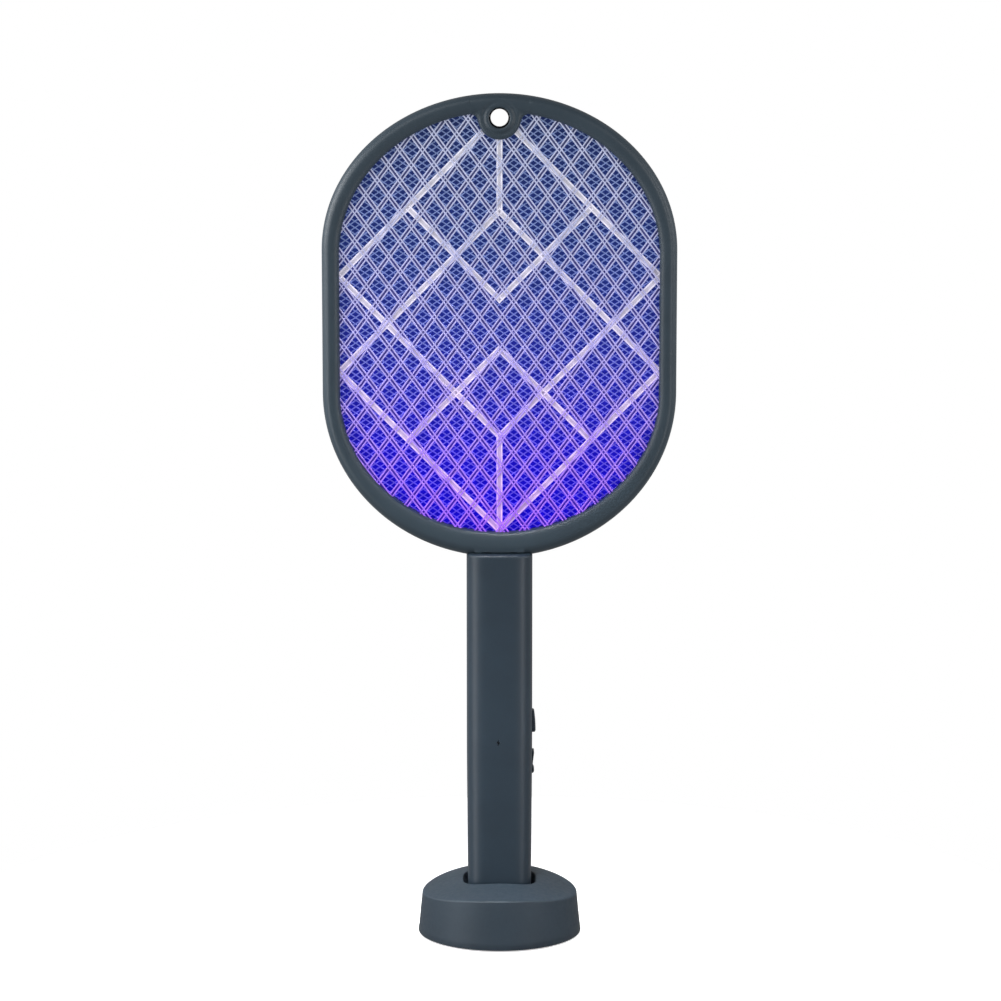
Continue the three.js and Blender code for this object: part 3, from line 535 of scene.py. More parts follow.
def eye_edge():
    """The lower edge of the eye's patch: a fillet from the inner outline, the eye's round, and back."""
    left, right = head_point(EYE_TO, 1.0), head_point(EYE_FROM, 1.0)
    start = math.atan2(left[1] - EYE_Z, left[0]) - 2 * math.pi
    radii = np.arange(EYE_BODY - 0.2, 18, 0.02)
    points = []
    for angle in np.linspace(start, -math.pi - start, 161)[1:-1]:
        x, z = radii * math.cos(angle), EYE_Z + radii * math.sin(angle)
        outside = eye_distance(radii, share_of(x, z)) > 0
        place = int(np.argmax(outside)) if outside.any() else -1
        points.append((x[place], z[place]))
    return np.array(points)


def eye_patch():
    """The skin round the hanging eye, as rows from the hole out, and which steps of its edge are open."""
    shares = section_shares()
    left = head_point(np.full(len(shares), float(EYE_TO)), shares)
    right = head_point(np.full(len(shares), float(EYE_FROM)), shares)[::-1]
    lower = eye_edge()
    upper = outline_point(OUTER, np.linspace(EYE_FROM, EYE_TO, 41)[1:-1])
    edge = np.concatenate([left, lower, right, upper])
    edge_share = np.concatenate([shares, np.ones(len(lower)), shares[::-1], np.zeros(len(upper))])
    turns = np.radians(np.concatenate([
        np.linspace(120, 150, len(left)), np.linspace(150, 390, len(lower) + 2)[1:-1],
        np.linspace(390, 420, len(right)), np.linspace(420, 480, len(upper) + 2)[1:-1]]))
    hole = np.stack([np.cos(turns), np.sin(turns)], 1) * EYE_RADIUS + [0, EYE_Z]
    steps = np.linspace(0, 1, 46)
    rows = []
    for step in 0.45 * steps + 0.55 * np.sin(steps * math.pi / 2):
        x, z = (hole + (edge - hole) * step).T
        rows.append(np.stack([x, eye_height(x, z, share_of(x, z)), z], 1))
    rows[-1][:, 1] = band_height(edge_share)
    open_steps = range(len(left) - 1, len(left) + len(lower))
    return np.array(rows), open_steps


def band_rows():
    """The skin of the rest of the frame, as rows along the band."""
    fine = np.arange(252, 288.01, 0.4)
    stations = np.concatenate([
        np.linspace(EYE_TO, 180, 55), [180.0001], np.linspace(181.5, 250.5, 47), fine,
        np.linspace(289.5, 360, 48), [0.0001], np.linspace(1.5, EYE_FROM, 54)])
    shares = section_shares()
    rows = []
    for degrees in stations:
        x, z = head_point(np.full(len(shares), degrees), shares).T
        height = band_height(shares)
        if 250 < degrees < 290:
            height = neck_height(x, z, height)
            height[0] = SEAM
        rows.append(np.stack([x, height, z], 1))
    return np.array(rows)


def frame_skin():
    """The frame half's skin as vertices and faces, and the steps of its open edges, where side walls go."""
    band = band_rows()
    patch, open_steps = eye_patch()
    count, across = band.shape[:2]
    start = count * across
    rows, around = patch.shape[:2]
    vertices = np.concatenate([band.reshape(-1, 3), patch.reshape(-1, 3)])
    faces = lattice_faces(count, across) + lattice_faces(rows, around, closed=True, start=start)
    last = start + (rows - 1) * around
    walls = [(r * across + across - 1, (r + 1) * across + across - 1) for r in range(count - 1)]
    walls += [(last + c, last + c + 1) for c in open_steps]
    walls += [(start + c, start + (c + 1) % around) for c in range(around)]
    return vertices, faces, walls


def frame_half(name, side):
    """One half of the frame: its skin, a flat back on the seam, and straight walls between them."""
    front, faces, walls = frame_skin()
    count = len(front)
    back = front.copy()
    back[:, 1] = SEAM
    faces = faces + [[i + count for i in face[::-1]] for face in faces]
    faces += [[a, b, b + count, a + count] for a, b in walls]
    obj = new_object(name, np.concatenate([front, back]) * [1, side, 1], faces, FRAME_SLATE)
    low, high = sorted((side * SEAM, side * TANG_DEPTH))
    outline = centred_rectangle(TANG_HALF, low, high, 0.1)
    return cut(obj, [prism("tang", outline, "z", TANG_BOTTOM, TANG_TOP)], join=True)


def frame_filler(name):
    """A thin ring inside the frame's seam, so that the glow doesn't show through it. Its matt black is also
    painted shade, so that the seam reads as a dark line.
    """
    ring = prism(name, head_outline(0.08), "y", -SEAM, SEAM, MATT_BLACK)
    return cut(ring, [prism("inside", head_outline(0.2), "y", -1, 1)])


def dark_eye_rim(name):
    """A matt black tube lining the hanging hole, sunk a little below the frame's skin, which gives the hole a
    dark rim.
    """
    def rod(label, radius, half_length):
        profile = [(0, -half_length), (radius, -half_length), (radius, half_length), (0, half_length)]
        return turned(label, profile, (0, 0, EYE_Z), "y", MATT_BLACK, 96)
    return cut(rod(name, EYE_RADIUS - 0.03, DARK_RIM_HALF), [rod("bore", DARK_RIM_RADIUS, 12)])


# ---------------- wires, ribs and panel
def clipped(point, way, share):
    """The stretches of a straight line inside the head's opening, clear of the eye, as pairs of distances."""
    outline = head_outline(share)
    edge = np.roll(outline, -1, 0) - outline
    cross = way[0] * edge[:, 1] - way[1] * edge[:, 0]
    cross = np.where(np.abs(cross) < 1e-12, 1e-12, cross)
    offset = outline - point
    along = (offset[:, 0] * edge[:, 1] - offset[:, 1] * edge[:, 0]) / cross
    across = (offset[:, 0] * way[1] - offset[:, 1] * way[0]) / cross
    hits = np.sort(along[(across >= 0) & (across < 1)])
    if len(hits) < 2:
        return []
    low, high = hits[0], hits[-1]
    to_eye = np.array([0, EYE_Z]) - point
    nearest = to_eye @ way
    miss = abs(to_eye[0] * way[1] - to_eye[1] * way[0])
    keep_out = EYE_BODY - 2
    if miss >= keep_out:
        return [(low, high)]
    half = math.sqrt(keep_out**2 - miss**2)
    return [(a, b) for a, b in ((low, nearest - half), (nearest + half, high)) if b - a > 1]


def wire(start, end, radius, y, sides=6):
    """A straight round wire between two [x, z] points: its vertices and faces."""
    way = (end - start) / np.linalg.norm(end - start)
    side = np.array([-way[1], way[0]])
    turn = np.arange(sides) * 2 * math.pi / sides
    out, up = radius * np.cos(turn), radius * np.sin(turn)
    ring = np.stack([side[0] * out, up, side[1] * out], 1)
    vertices = [np.array((p[0], y, p[1])) + r for p in (start, end) for r in ring]
    return vertices, tube_faces(2, sides)


def gather(name, parts, material):
    """One object from many small closed solids."""
    vertices, faces = [], []
    for part_vertices, part_faces in parts:
        start = len(vertices)
        vertices.extend(part_vertices)
        faces.extend([[i + start for i in face] for face in part_faces])
    return new_object(name, vertices, faces, material, sharp=50, merge=False)


def strand_lines(layout):
    """Each strand of a diamond lattice as a point, a direction and its distance from the middle plane."""
    width, height = layout["cell"]
    x, z = layout["node"]
    count = int(400 / width)
    for lean, y in ((1, layout["back"]), (-1, layout["front"])):
        way = np.array([width, lean * height]) / math.hypot(width, height)
        for i in range(-count, count + 1):
            yield np.array([x + i * width, z]), way, y


def strand(point, way, layout, y):
    """The wires of one strand, each clipped to the head's opening."""
    return [wire(point + way * low, point + way * high, layout["radius"], y)
            for low, high in clipped(point, way, CLAMP)]


def plain_wires(side):
    """The charged mesh: each strand is one wire, and the two directions lie one over the other."""
    return [made for point, way, y in strand_lines(MESH) for made in strand(point, way, MESH, side * y)]


def twin_wires(side):
    """The guard's paired wires, and a dark strip of painted shade behind the gap between the two wires of
    each pair.
    """
    wires, gap_shades = [], []
    shift = NET["spacing"] / 2
    half_width = shift - NET["radius"] + 0.06
    for point, way, y in strand_lines(NET):
        across = np.array([-way[1], way[0]]) * shift
        depth = NET["back"] - NET["radius"] - (0.1 if y == NET["front"] else 0.3)
        for origin in (point - across, point + across):
            wires += strand(origin, way, NET, side * y)
        # Painted shade: a dark strip behind the gap of each pair, clear of the ribs.
        for stretch in clipped(point, way, CLAMP):
            for low, high in clear_of_ribs(point, way, *stretch):
                ends = point + way * low, point + way * high
                gap_shades.append(strip(*ends, half_width, side * (depth - 0.15), side * depth))
    return wires, gap_shades


def clear_of_ribs(point, way, low, high):
    """The parts of a strand between two distances that don't cross a rib."""
    covered = []
    for start, end in rib_lines():
        start, end = np.array(start), np.array(end)
        length = np.linalg.norm(end - start)
        along = (end - start) / length
        slope = way[0] * along[1] - way[1] * along[0]
        if abs(slope) < 0.05:  # nearly parallel
            continue
        offset = (start - point)[0] * along[1] - (start - point)[1] * along[0]
        middle, half = offset / slope, RIB["width"] / 2 / abs(slope)
        reach = (point + way * middle - start) @ along
        if 0 <= reach <= length:
            covered.append((middle - half, middle + half))
    stretches = []
    for first, last in sorted(covered):
        if first > low:
            stretches.append((low, min(first, high)))
        low = max(low, last)
    stretches.append((low, high))
    return [(a, b) for a, b in stretches if b - a > 0.3]


def strip(start, end, half_width, y_back, y_front):
    """A flat strip between two [x, z] points."""
    way = (end - start) / np.linalg.norm(end - start)
    side = np.array([-way[1], way[0]]) * half_width
    corners = [start + side, start - side, end - side, end + side]
    return [np.array((p[0], y, p[1])) for y in (y_back, y_front) for p in corners], tube_faces(2, 4)


def rib_bar(points, side):
    """A rib along [x, z] points with a crowned face, mitred at its corners."""
    points = np.asarray(points, float)
    ways = np.diff(points, axis=0)
    ways /= np.linalg.norm(ways, axis=1)[:, None]
    half, face, sunk = RIB["width"] / 2, RIB["face"], RIB["sunk"]
    section = [(-half, face - 0.35), (-half * 0.86, face - 0.08), (-half * 0.7, face),
               (-half * 0.5, face - sunk * 0.8), (-half * 0.3, face - sunk)]
    section += [(-u, y) for u, y in section[::-1]]
    section += [(half * 0.9, RIB["back"]), (-half * 0.9, RIB["back"])]
    rows = []
    for i, point in enumerate(points):
        before, after = ways[max(i - 1, 0)], ways[min(i, len(ways) - 1)]
        normal = np.array([-before[1] - after[1], before[0] + after[0]])
        normal /= np.linalg.norm(normal)
        stretch = 1 / abs(normal @ np.array([-after[1], after[0]]))
        rows.append([(point[0] + normal[0] * u * stretch, side * y, point[1] + normal[1] * u * stretch)
                     for u, y in section])
    return [np.array(v) for row in rows for v in row], tube_faces(len(rows), len(section))


def clipped_rib(start, end, side):
    """A rib between two points, run on by half its width so that its corner with the next rib is full."""
    start, end = np.asarray(start, float), np.asarray(end, float)
    length = np.linalg.norm(end - start)
    way = (end - start) / length
    first = -RIB["width"] / 2
    return [rib_bar([start + way * max(low, first), start + way * min(high, length)], side)
            for low, high in clipped(start, way, CLAMP) if min(high, length) - max(low, first) > 1]


def rib_lines():
    """The ribs' centre lines: nested diagonals at 45 degrees, mirrored left to right and top to bottom."""
    reach = 110
    outer, middle, cross = RIB["outer"], RIB["middle"], RIB["cross"]
    span = (outer - cross) / 2
    lines = []
    for up in (-1, 1):
        def at(x, z):
            return (x, HEAD_CENTRE + up * z)
        for flip in (-1, 1):
            lines.append((at(0, outer), at(flip * reach, outer - reach)))
            lines.append((at(0, middle), at(flip * reach, middle - reach)))
            lines.append((at(0, cross), at(flip * span, span + cross)))
        lines.append((at(0, middle), at(0, outer + 14)))
    return lines


def rib_parts(side):
    return [bar for start, end in rib_lines() for bar in clipped_rib(start, end, side)]


def light_panel(name):
    """The edge-lit sheet, with a bite out of its top for the eye."""
    sheet = prism(name, head_outline(CLAMP), "y", -PANEL_HALF, PANEL_HALF, PANEL)
    radius = EYE_BODY - 1.5
    return cut(sheet, [loft("eye", lathe([(radius, -3), (radius, 3)], (0, 0, EYE_Z), "y"))])


# ---------------- handle
HANDLE_WIDE, HANDLE_DEEP = 19.7, 16.7  # half width and half depth from the slider up
FOOT_ROUND, TOP_ROUND, LID = 1.2, 1.9, 2.2
SHELL_WALL = 2.0
OUTSIDE = 24  # past the handle's skin on every side


def handle_size(z):
    """Half width and half depth of the handle's outside at a height."""
    heights = (HANDLE_FOOT, 60, 112)
    wide, deep = (18.9, 19.35, HANDLE_WIDE), (15.9, 16.35, HANDLE_DEEP)
    return np.interp(z, heights, wide), np.interp(z, heights, deep)


def section_arc(half_width, half_depth, side, power=SECTION_POWER, steps=48):
    """Half of a squared-off oval, from +X round to -X, on the front or the rear side of the seam."""
    angle = np.linspace(0, math.pi, steps + 1)
    x = half_width * np.sign(np.cos(angle)) * np.abs(np.cos(angle)) ** (2 / power)
    y = np.maximum(half_depth * np.sin(angle) ** (2 / power), SEAM)
    return np.stack([x, side * y], 1)


def handle_stations():
    """Heights up the handle, each with how far the skin is drawn in and the opening inside it."""
    lid_low = HANDLE_TOP - LID
    open_foot, neck_slot = (16.9, 13.9, SECTION_POWER), (NECK_HALF, TANG_DEPTH + 0.3, 12)
    stations = [(HANDLE_FOOT + rise, inset, open_foot) for rise, inset in quarter_round(FOOT_ROUND, 8)]
    for z in (18, 30, 45, 60, 75, 90, 101, 112, 130, 160, 190, 215, lid_low):
        width, depth = handle_size(z)
        stations.append((z, 0, (width - SHELL_WALL, depth - SHELL_WALL, SECTION_POWER)))
    stations.append((lid_low, 0, neck_slot))
    lid = quarter_round(TOP_ROUND, 8)[::-1]
    return stations + [(HANDLE_TOP - drop, inset, neck_slot) for drop, inset in lid]


def handle_half(name, side):
    """One half of the handle: an outer skin and an inner wall, joined at the seam, the foot and the neck."""
    rings = []
    for z, inset, (wide, deep, power) in handle_stations():
        width, depth = handle_size(z)
        outside = section_arc(width - inset, depth - inset, side)
        inside = section_arc(wide, deep, side, power)[::-1]
        flat = np.concatenate([outside, inside])
        rings.append(np.column_stack([flat, np.full(len(flat), z)]))
    rings = np.array(rings)
    count, around = rings.shape[:2]
    faces = lattice_faces(count, around, closed=True)
    for row in (0, count - 1):
        base = row * around
        faces += [[base + i, base + i + 1, base + around - 2 - i, base + around - 1 - i]
                  for i in range(around // 2 - 1)]
    return new_object(name, rings.reshape(-1, 3), faces, SLATE)


TRIGGER_LOW, TRIGGER_HIGH, TRIGGER_HALF = 123.8, 137.0, 3.8
SLIDER_LOW, SLIDER_HIGH, SLIDER_HALF = 98.7, 112.2, 4.0
POST_LOW, POST_HIGH, POST_HALF = 103.8, 106.8, 1.2
SLIDER_TRAVEL = 4.0
LENS_X, LENS_Z, LENS_WIDE, LENS_HIGH = -0.7, 119.9, 1.25, 2.2
HANDLE_SCREW_X, HANDLE_SCREW_Z = 11, (212, 22)


def control_cutters():
    """The outlines cut into the handle's right side, each with how deep it goes."""
    window = centred_rectangle(TRIGGER_HALF + 0.3, TRIGGER_LOW - 0.3, TRIGGER_HIGH + 0.3, 1.1)
    slot = centred_rectangle(POST_HALF + 0.4, POST_LOW - 0.4, POST_HIGH + SLIDER_TRAVEL + 0.4, 0.6)
    track = centred_rectangle(SLIDER_HALF + 0.6, SLIDER_LOW - 1.7, SLIDER_HIGH + SLIDER_TRAVEL + 2, 1.0)
    return (window, 14), (slot, 12), (track, HANDLE_WIDE - 0.8)


def seam_filler(name, half):
    """Strips inside the handle's seam, clear of the controls, so that nothing shows through it. Their matt
    black is also painted shade, so that the seam reads as a dark line.
    """
    low_end, high_end = 14, 231
    stretches = [(low_end, high_end)]
    if half > 0:
        stretches = [(low_end, POST_LOW - 1), (POST_HIGH + SLIDER_TRAVEL + 1, TRIGGER_LOW - 0.6),
                     (TRIGGER_HIGH + 0.6, high_end)]
    strips = []
    for low, high in stretches:
        rings = []
        for z in np.linspace(low, high, 12):
            far, near = (half * (handle_size(z)[0] - inset) for inset in (0.9, 1.6))
            rings.append([(near, -SEAM, z), (far, -SEAM, z), (far, SEAM, z), (near, SEAM, z)])
        strips.append(loft("strip", rings, MATT_BLACK))
    filler = cut(strips[0], strips[1:], join=True) if strips[1:] else strips[0]
    filler.name = name
    return filler


def handle_screw_spots():
    return [(x, 0, z) for x in (-HANDLE_SCREW_X, HANDLE_SCREW_X) for z in HANDLE_SCREW_Z]


def bolt_outline(room):
    """A lightning bolt, a little larger when room is given."""
    corners = ((0.35, 1), (-1, -0.15), (-0.12, -0.15), (-0.35, -1), (1, 0.15), (0.12, 0.15))
    return [(LENS_X + x * (LENS_WIDE + room), LENS_Z + z * (LENS_HIGH + room)) for x, z in corners]


def handle_shell(name, side):
    """A handle half with its openings for the controls, and the bolt's hole or the screw wells."""
    shell = handle_half(name, side)
    for outline, low in control_cutters():
        cut(shell, [prism("opening", outline, "x", low, OUTSIDE)])
    if side < 0:
        return cut(shell, [prism("bolt", bolt_outline(0.15), "y", -OUTSIDE, -10)])
    profile = [(0, 11.3), (2.8, 11.3), (2.8, 15.9), (3.6, 17.5), (0, 17.5)]
    return cut(shell, bores(profile, handle_screw_spots(), "y", 32))


def side_button(name, rows, reach, half_depth, back, corner, edge):
    """A button on the handle's right side. rows say how proud its face stands at each height."""
    low, high = rows[0][0], rows[-1][0]
    ends = quarter_round(edge, 6)
    stations = [(low + rise, inset) for rise, inset in ends]
    stations += [(z, 0) for z in np.linspace(low + edge, high - edge, 30)[1:-1]]
    stations += [(high - rise, inset) for rise, inset in ends[::-1]]
    rings = []
    for z, inset in stations:
        face = HANDLE_WIDE + gradual(z, rows, reach)
        outline = rounded_rectangle((back, inset - half_depth), (face - inset, half_depth - inset), corner)
        rings.append([(x, y, z) for x, y in outline])
    return loft(name, rings, DARK_SLATE)


def trigger(name):
    """The trigger's cap: it slopes out towards its lower end, and a flange keeps it in the handle."""
    low, high = TRIGGER_LOW, TRIGGER_HIGH
    rows = [(low, 1.7), (low + 1.2, 2.1), (low + 6.6, 1.9), (high - 0.8, 1.25), (high, 0.9)]
    cap = side_button(name, rows, 0.5, TRIGGER_HALF, 15.6, 0.9, 0.5)
    flange = centred_rectangle(5.2, low - 1.5, high + 1.5, 1)
    return cut(cap, [prism("flange", flange, "x", 15.9, 17.1)], join=True)


def slider(name):
    """The mode slider: a raised upper end, a dip for the thumb and a round nub below."""
    low, high = SLIDER_LOW, SLIDER_HIGH
    rows = [(low, 0.5), (low + 0.9, 1.1), (low + 1.9, 1.2), (low + 2.9, 1.0), (low + 3.9, 0.3),
            (low + 5.3, 0.3), (high - 0.9, 1.2), (high, 0.9)]
    cap = side_button(name, rows, 0.35, SLIDER_HALF, 19.0, 0.3, 0.25)
    stem = centred_rectangle(POST_HALF, POST_LOW, POST_HIGH, 0.3)
    return cut(cap, [prism("stem", stem, "x", 12.5, 19.4)], join=True)


# ---------------- screws
def screw(name, centre, axis, head, shank, tip, neck, back):
    """A pan-head screw with a cross recess. head and shank are radii, and the rest are places on its axis."""
    out = 1 if back > tip else -1
    drop = abs(back - neck)
    profile = [(0, tip), (shank * 0.5, tip), (shank, tip + out * 1.2), (shank, neck), (head, neck),
               (head, back - out * drop * 0.45), (head * 0.93, back - out * drop * 0.2),
               (head * 0.75, back - out * drop * 0.05), (head * 0.5, back), (0, back)]
    body = turned(name, profile, centre, axis, STEEL, 36)
    wide, reach = head * 0.16, head * 0.62
    half = [(reach, -wide), (reach, wide), (wide, wide)]
    cross = []
    for u, v in ((1, 0), (0, 1), (-1, 0), (0, -1)):
        cross += [(a * u - b * v, a * v + b * u) for a, b in half]
    u, v = {"z": (centre[0], centre[1]), "y": (centre[0], centre[2])}[axis]
    outline = [(a + u, b + v) for a, b in cross]
    low, high = sorted((back - out * drop * 0.6, back + out * 1))
    return cut(body, [prism("recess", outline, axis, low, high)])


FRAME_SCREW_SHARE = 0.457  # of the way across the band
FRAME_SCREW_PLACES = (48, 132, 180, 0, 222, 318)  # degrees round the head


def frame_screw_spots():
    return [(x, 0, z) for x, z in head_point(FRAME_SCREW_PLACES, [FRAME_SCREW_SHARE])]


# ---------------- base
BASE_TURNS = 192
SOCKET_FLOOR, SOCKET_SNUG, SOCKET_MOUTH = 12, (19.6, 16.6), (21.7, 19)
SOCKET_WALL, BASE_WALL, MOUTH_LIP = 2.0, 2.2, 0.8
USB_HALF, USB_LOW, USB_HIGH, USB_FRONT, USB_MOUTH = 4.47, 6.5, 9.76, 40.6, 47.9
COVER_RADIUS, COVER_TOP = 46.6, 2.8
FOOT_RADIUS, PIN_X = 5, 7


def on_circle(radius, *degrees):
    """Places on a circle round the base's axis, on the ground."""
    return [(radius * math.cos(math.radians(a)), radius * math.sin(math.radians(a)), 0) for a in degrees]


FOOT_SPOTS = on_circle(39, 45, 135, 225, 315)
BASE_SCREW_SPOTS = on_circle(33.4, 30, 150, 270)
PIN_SPOTS = (("left", (-PIN_X, 0, 0)), ("right", (PIN_X, 0, 0)))


def base_rings():
    """Rings of the upper shell: up the socket, over the crown, down the wall and back underneath."""
    angle = np.linspace(0, 2 * math.pi, BASE_TURNS, endpoint=False)
    cos, sin = np.cos(angle), np.sin(angle)

    def oval(half_sizes, grow=0.0):
        x_part = np.abs(cos) / (half_sizes[0] + grow)
        y_part = np.abs(sin) / (half_sizes[1] + grow)
        return (x_part**SECTION_POWER + y_part**SECTION_POWER) ** (-1 / SECTION_POWER)

    def crown(radius):
        return BASE_CROWN - BASE_FALL_X * (radius * cos) ** 2 - BASE_FALL_Y * (radius * sin) ** 2

    def between(start, end, shares, drop):
        radii = [start + (end - start) * share for share in shares]
        return [(radius, crown(radius) - drop) for radius in radii]

    rim = BASE_RADIUS - BASE_DRAFT * crown(RIM_ABOUT)
    snug, mouth, centre = oval(SOCKET_SNUG), oval(SOCKET_MOUTH), oval(SOCKET_SNUG, -10)
    rows = [(centre, SOCKET_FLOOR), (oval(SOCKET_SNUG, -1.4), SOCKET_FLOOR),
            (oval(SOCKET_SNUG, -0.3), SOCKET_FLOOR + 0.3), (snug, SOCKET_FLOOR + 1.4), (snug, 16), (snug, 20)]
    rows += [(snug + (mouth - snug) * smoothstep(20, 29, z), z) for z in (22, 23.5, 25, 26.5)]
    for turn in np.radians(np.linspace(0, 90, 7)):
        radius = mouth + MOUTH_LIP * (1 - math.cos(turn))
        rows.append((radius, crown(radius) - MOUTH_LIP * (1 - math.sin(turn))))
    end = rim - BASE_RIM
    rows += between(mouth + MOUTH_LIP, end, np.linspace(0, 1, 15)[1:], 0)
    corner, low_wall = crown(rim), crown(rim) - BASE_RIM
    for t in np.linspace(0, 1, 9)[1:]:
        radius = (1 - t) ** 2 * end + 2 * t * (1 - t) * rim + t**2 * (rim + BASE_DRAFT * BASE_RIM)
        rows.append((radius, (1 - t) ** 2 * crown(end) + 2 * t * (1 - t) * corner + t**2 * low_wall))
    for share in (0.3, 0.6, 0.85):
        z = low_wall + (BASE_LOW + 0.8 - low_wall) * share
        rows.append((rim + BASE_DRAFT * (corner - z), z))
    foot, inner, well = BASE_RADIUS - BASE_DRAFT * BASE_LOW, rim - BASE_WALL, oval(SOCKET_MOUTH, SOCKET_WALL)
    rows += [(foot, BASE_LOW + 0.5), (foot - 0.15, BASE_LOW + 0.15), (foot - 0.5, BASE_LOW)]
    rows += [(foot - BASE_WALL, BASE_LOW), (inner, low_wall - BASE_WALL)]
    rows += between(inner - 1, well, (0,), BASE_WALL) + between(inner, well, (0.35, 0.7, 1), BASE_WALL)
    outside = oval(SOCKET_SNUG, SOCKET_WALL)
    rows += [(well, 26), (outside, 20), (outside, 10), (centre, 10)]
    return [np.stack([radius * cos, radius * sin, height + 0 * cos], 1) for radius, height in rows]


def base_shell(name):
    """The upper shell with a hole for each pin in the socket's floor and a window for the power inlet."""
    profile = [(0, 5), (1.9, 5), (1.9, 11.6), (2.3, 12.4), (2.3, 14), (0, 14)]
    holes = bores(profile, [spot for _, spot in PIN_SPOTS], "z")
    room = 0.5
    window = centred_rectangle(USB_HALF + room, USB_LOW - room, USB_HIGH + room, 2.1, 8)
    shell = loft(name, base_rings(), BASE_SLATE)
    return cut(shell, holes + [prism("window", window, "y", 40, 60)])


def bottom_cover(name):
    """A disc with a shallow round groove, wells for the feet and stepped wells for the screws."""
    top, low = COVER_TOP, BASE_LOW
    profile = [(0, low), (20, low), (20.3, low + 0.3), (21.3, low + 0.3), (21.6, low)]
    profile += [(COVER_RADIUS - 0.6, low), (COVER_RADIUS, low + 0.6), (COVER_RADIUS, top), (0, top)]
    disc = turned(name, profile, (0, 0, 0), "z", DARK_SLATE, 128)
    radius = FOOT_RADIUS + 0.3
    foot_well = [(0, 0), (radius, 0), (radius, 2.2), (0, 2.2)]
    screw_well = [(0, 0), (3.2, 0), (2.9, 1.2), (2.9, 2), (1.4, 2), (1.4, 5), (0, 5)]
    return cut(disc, bores(foot_well, FOOT_SPOTS, "z") + bores(screw_well, BASE_SCREW_SPOTS, "z"))


def inlet_part(name, half_width, low, high, rows, steps, material):
    """A skin over rounded rectangles along y. A row says how far one is drawn in, its corner and its y."""
    rings = []
    for inset, corner, y in rows:
        outline = centred_rectangle(half_width - inset, low + inset, high - inset, corner, steps)
        rings.append([(u, y, v) for u, v in outline])
    return loft(name, rings, material)


def usb_sleeve(name):
    """The drawn metal sleeve of the power inlet, open at the rear."""
    skin, front, mouth = 0.3, USB_FRONT, USB_MOUTH
    rows = [(0, 1.6, front), (0, 1.6, mouth - 0.15), (0.1, 1.5, mouth), (skin - 0.05, 1.35, mouth)]
    rows += [(skin, 1.3, mouth - 0.1), (skin, 1.3, front + 1)]
    return inlet_part(name, USB_HALF, USB_LOW, USB_HIGH, rows, 8, STEEL)


def usb_tongue(name):
    middle = (USB_LOW + USB_HIGH) / 2
    rows = [(0, 0.15, USB_FRONT + 0.5), (0, 0.15, USB_MOUTH - 1.3), (0.12, 0.15, USB_MOUTH - 1)]
    return inlet_part(name, 3.3, middle - 0.35, middle + 0.35, rows, 5, DARK_SLATE)


# ---------------- assembly
FRONT, REAR = -1, 1
FRAME_WELL = [(0, 7.7), (2.5, 7.7), (2.5, 12), (0, 12)]
RUBBER_FOOT = [(0, 0.35), (2.6, 0.35), (2.9, 0), (4.3, 0), (4.8, 0.15), (FOOT_RADIUS, 0.5)]
RUBBER_FOOT += [(FOOT_RADIUS, 1.9), (0, 1.9)]
PIN = [(0, 8.4), (0.95, 8.4), (0.95, 12.6), (0.87, 12.9), (0.66, 13.12), (0.35, 13.2), (0, 13.2)]
PIN_GUIDE = [(0, 6.5), (1.5, 6.5), (1.5, 11.55), (1.4, 11.7), (1.2, 11.7), (1.2, 7.2), (0, 7.2)]


def fixings(kind, body, spots, axis, **sizes):
    """One screw at each spot, numbered from 1."""
    for number, spot in enumerate(spots, 1):
        made = screw(f"{kind}_fixing_{number}", spot, axis, **sizes)
        piece(made, body, "steel", f"{kind}_screw_{number}")


for word, side in (("front", FRONT), ("rear", REAR)):
    half = frame_half(f"{word}_frame_skin", side)
    if side == REAR:
        cut(half, bores(FRAME_WELL, frame_screw_spots(), "y", 32))
    piece(half, "racket", "slate_plastic", f"{word}_frame")
    ribs = gather(f"{word}_ribs", rib_parts(side), RIB_PLASTIC)
    piece(ribs, "racket", "white_plastic", f"{word}_rib_guard")
    wires, gap_shades = twin_wires(side)
    piece(gather(f"{word}_guard_wires", wires, NET_WIRE), "racket", "guard_wire", f"{word}_safety_net")
    piece(gather(f"{word}_guard_gap_shades", gap_shades, NET_GAP_SHADE), "racket", "guard_wire")
    fine = gather(f"{word}_charged_wires", plain_wires(side), FINE_WIRE)
    piece(fine, "racket", "charged_wire", f"{word}_hv_mesh")
    shell = handle_shell(f"{word}_handle_skin", side)
    piece(shell, "racket", "slate_plastic", f"handle_{word}_shell")

piece(dark_eye_rim("dark_eye_rim"), "racket", "dark_plastic")
piece(frame_filler("frame_seam_filler"), "racket", "dark_plastic")
piece(seam_filler("handle_seam_left", -1), "racket", "dark_plastic")
piece(seam_filler("handle_seam_right", 1), "racket", "dark_plastic")
piece(light_panel("light_sheet"), "racket", "lit_panel", "light_panel")
piece(trigger("trigger_cap"), "trigger", "dark_plastic", "trigger_button")
piece(slider("slider_cap"), "mode_slider", "dark_plastic", "mode_slider")

fixings("frame", "racket", frame_screw_spots(), "y", head=2.2, shank=1, tip=-6.5, neck=8, back=9.4)
for number, spot in enumerate(handle_screw_spots(), 1):
    tip = -11.5 if spot[2] > 100 else -8  # the upper screws are longer
    made = screw(f"handle_fixing_{number}", spot, "y", head=2.5, shank=1.2, tip=tip, neck=11.6, back=13.6)
    piece(made, "racket", "steel", f"handle_screw_{number}")

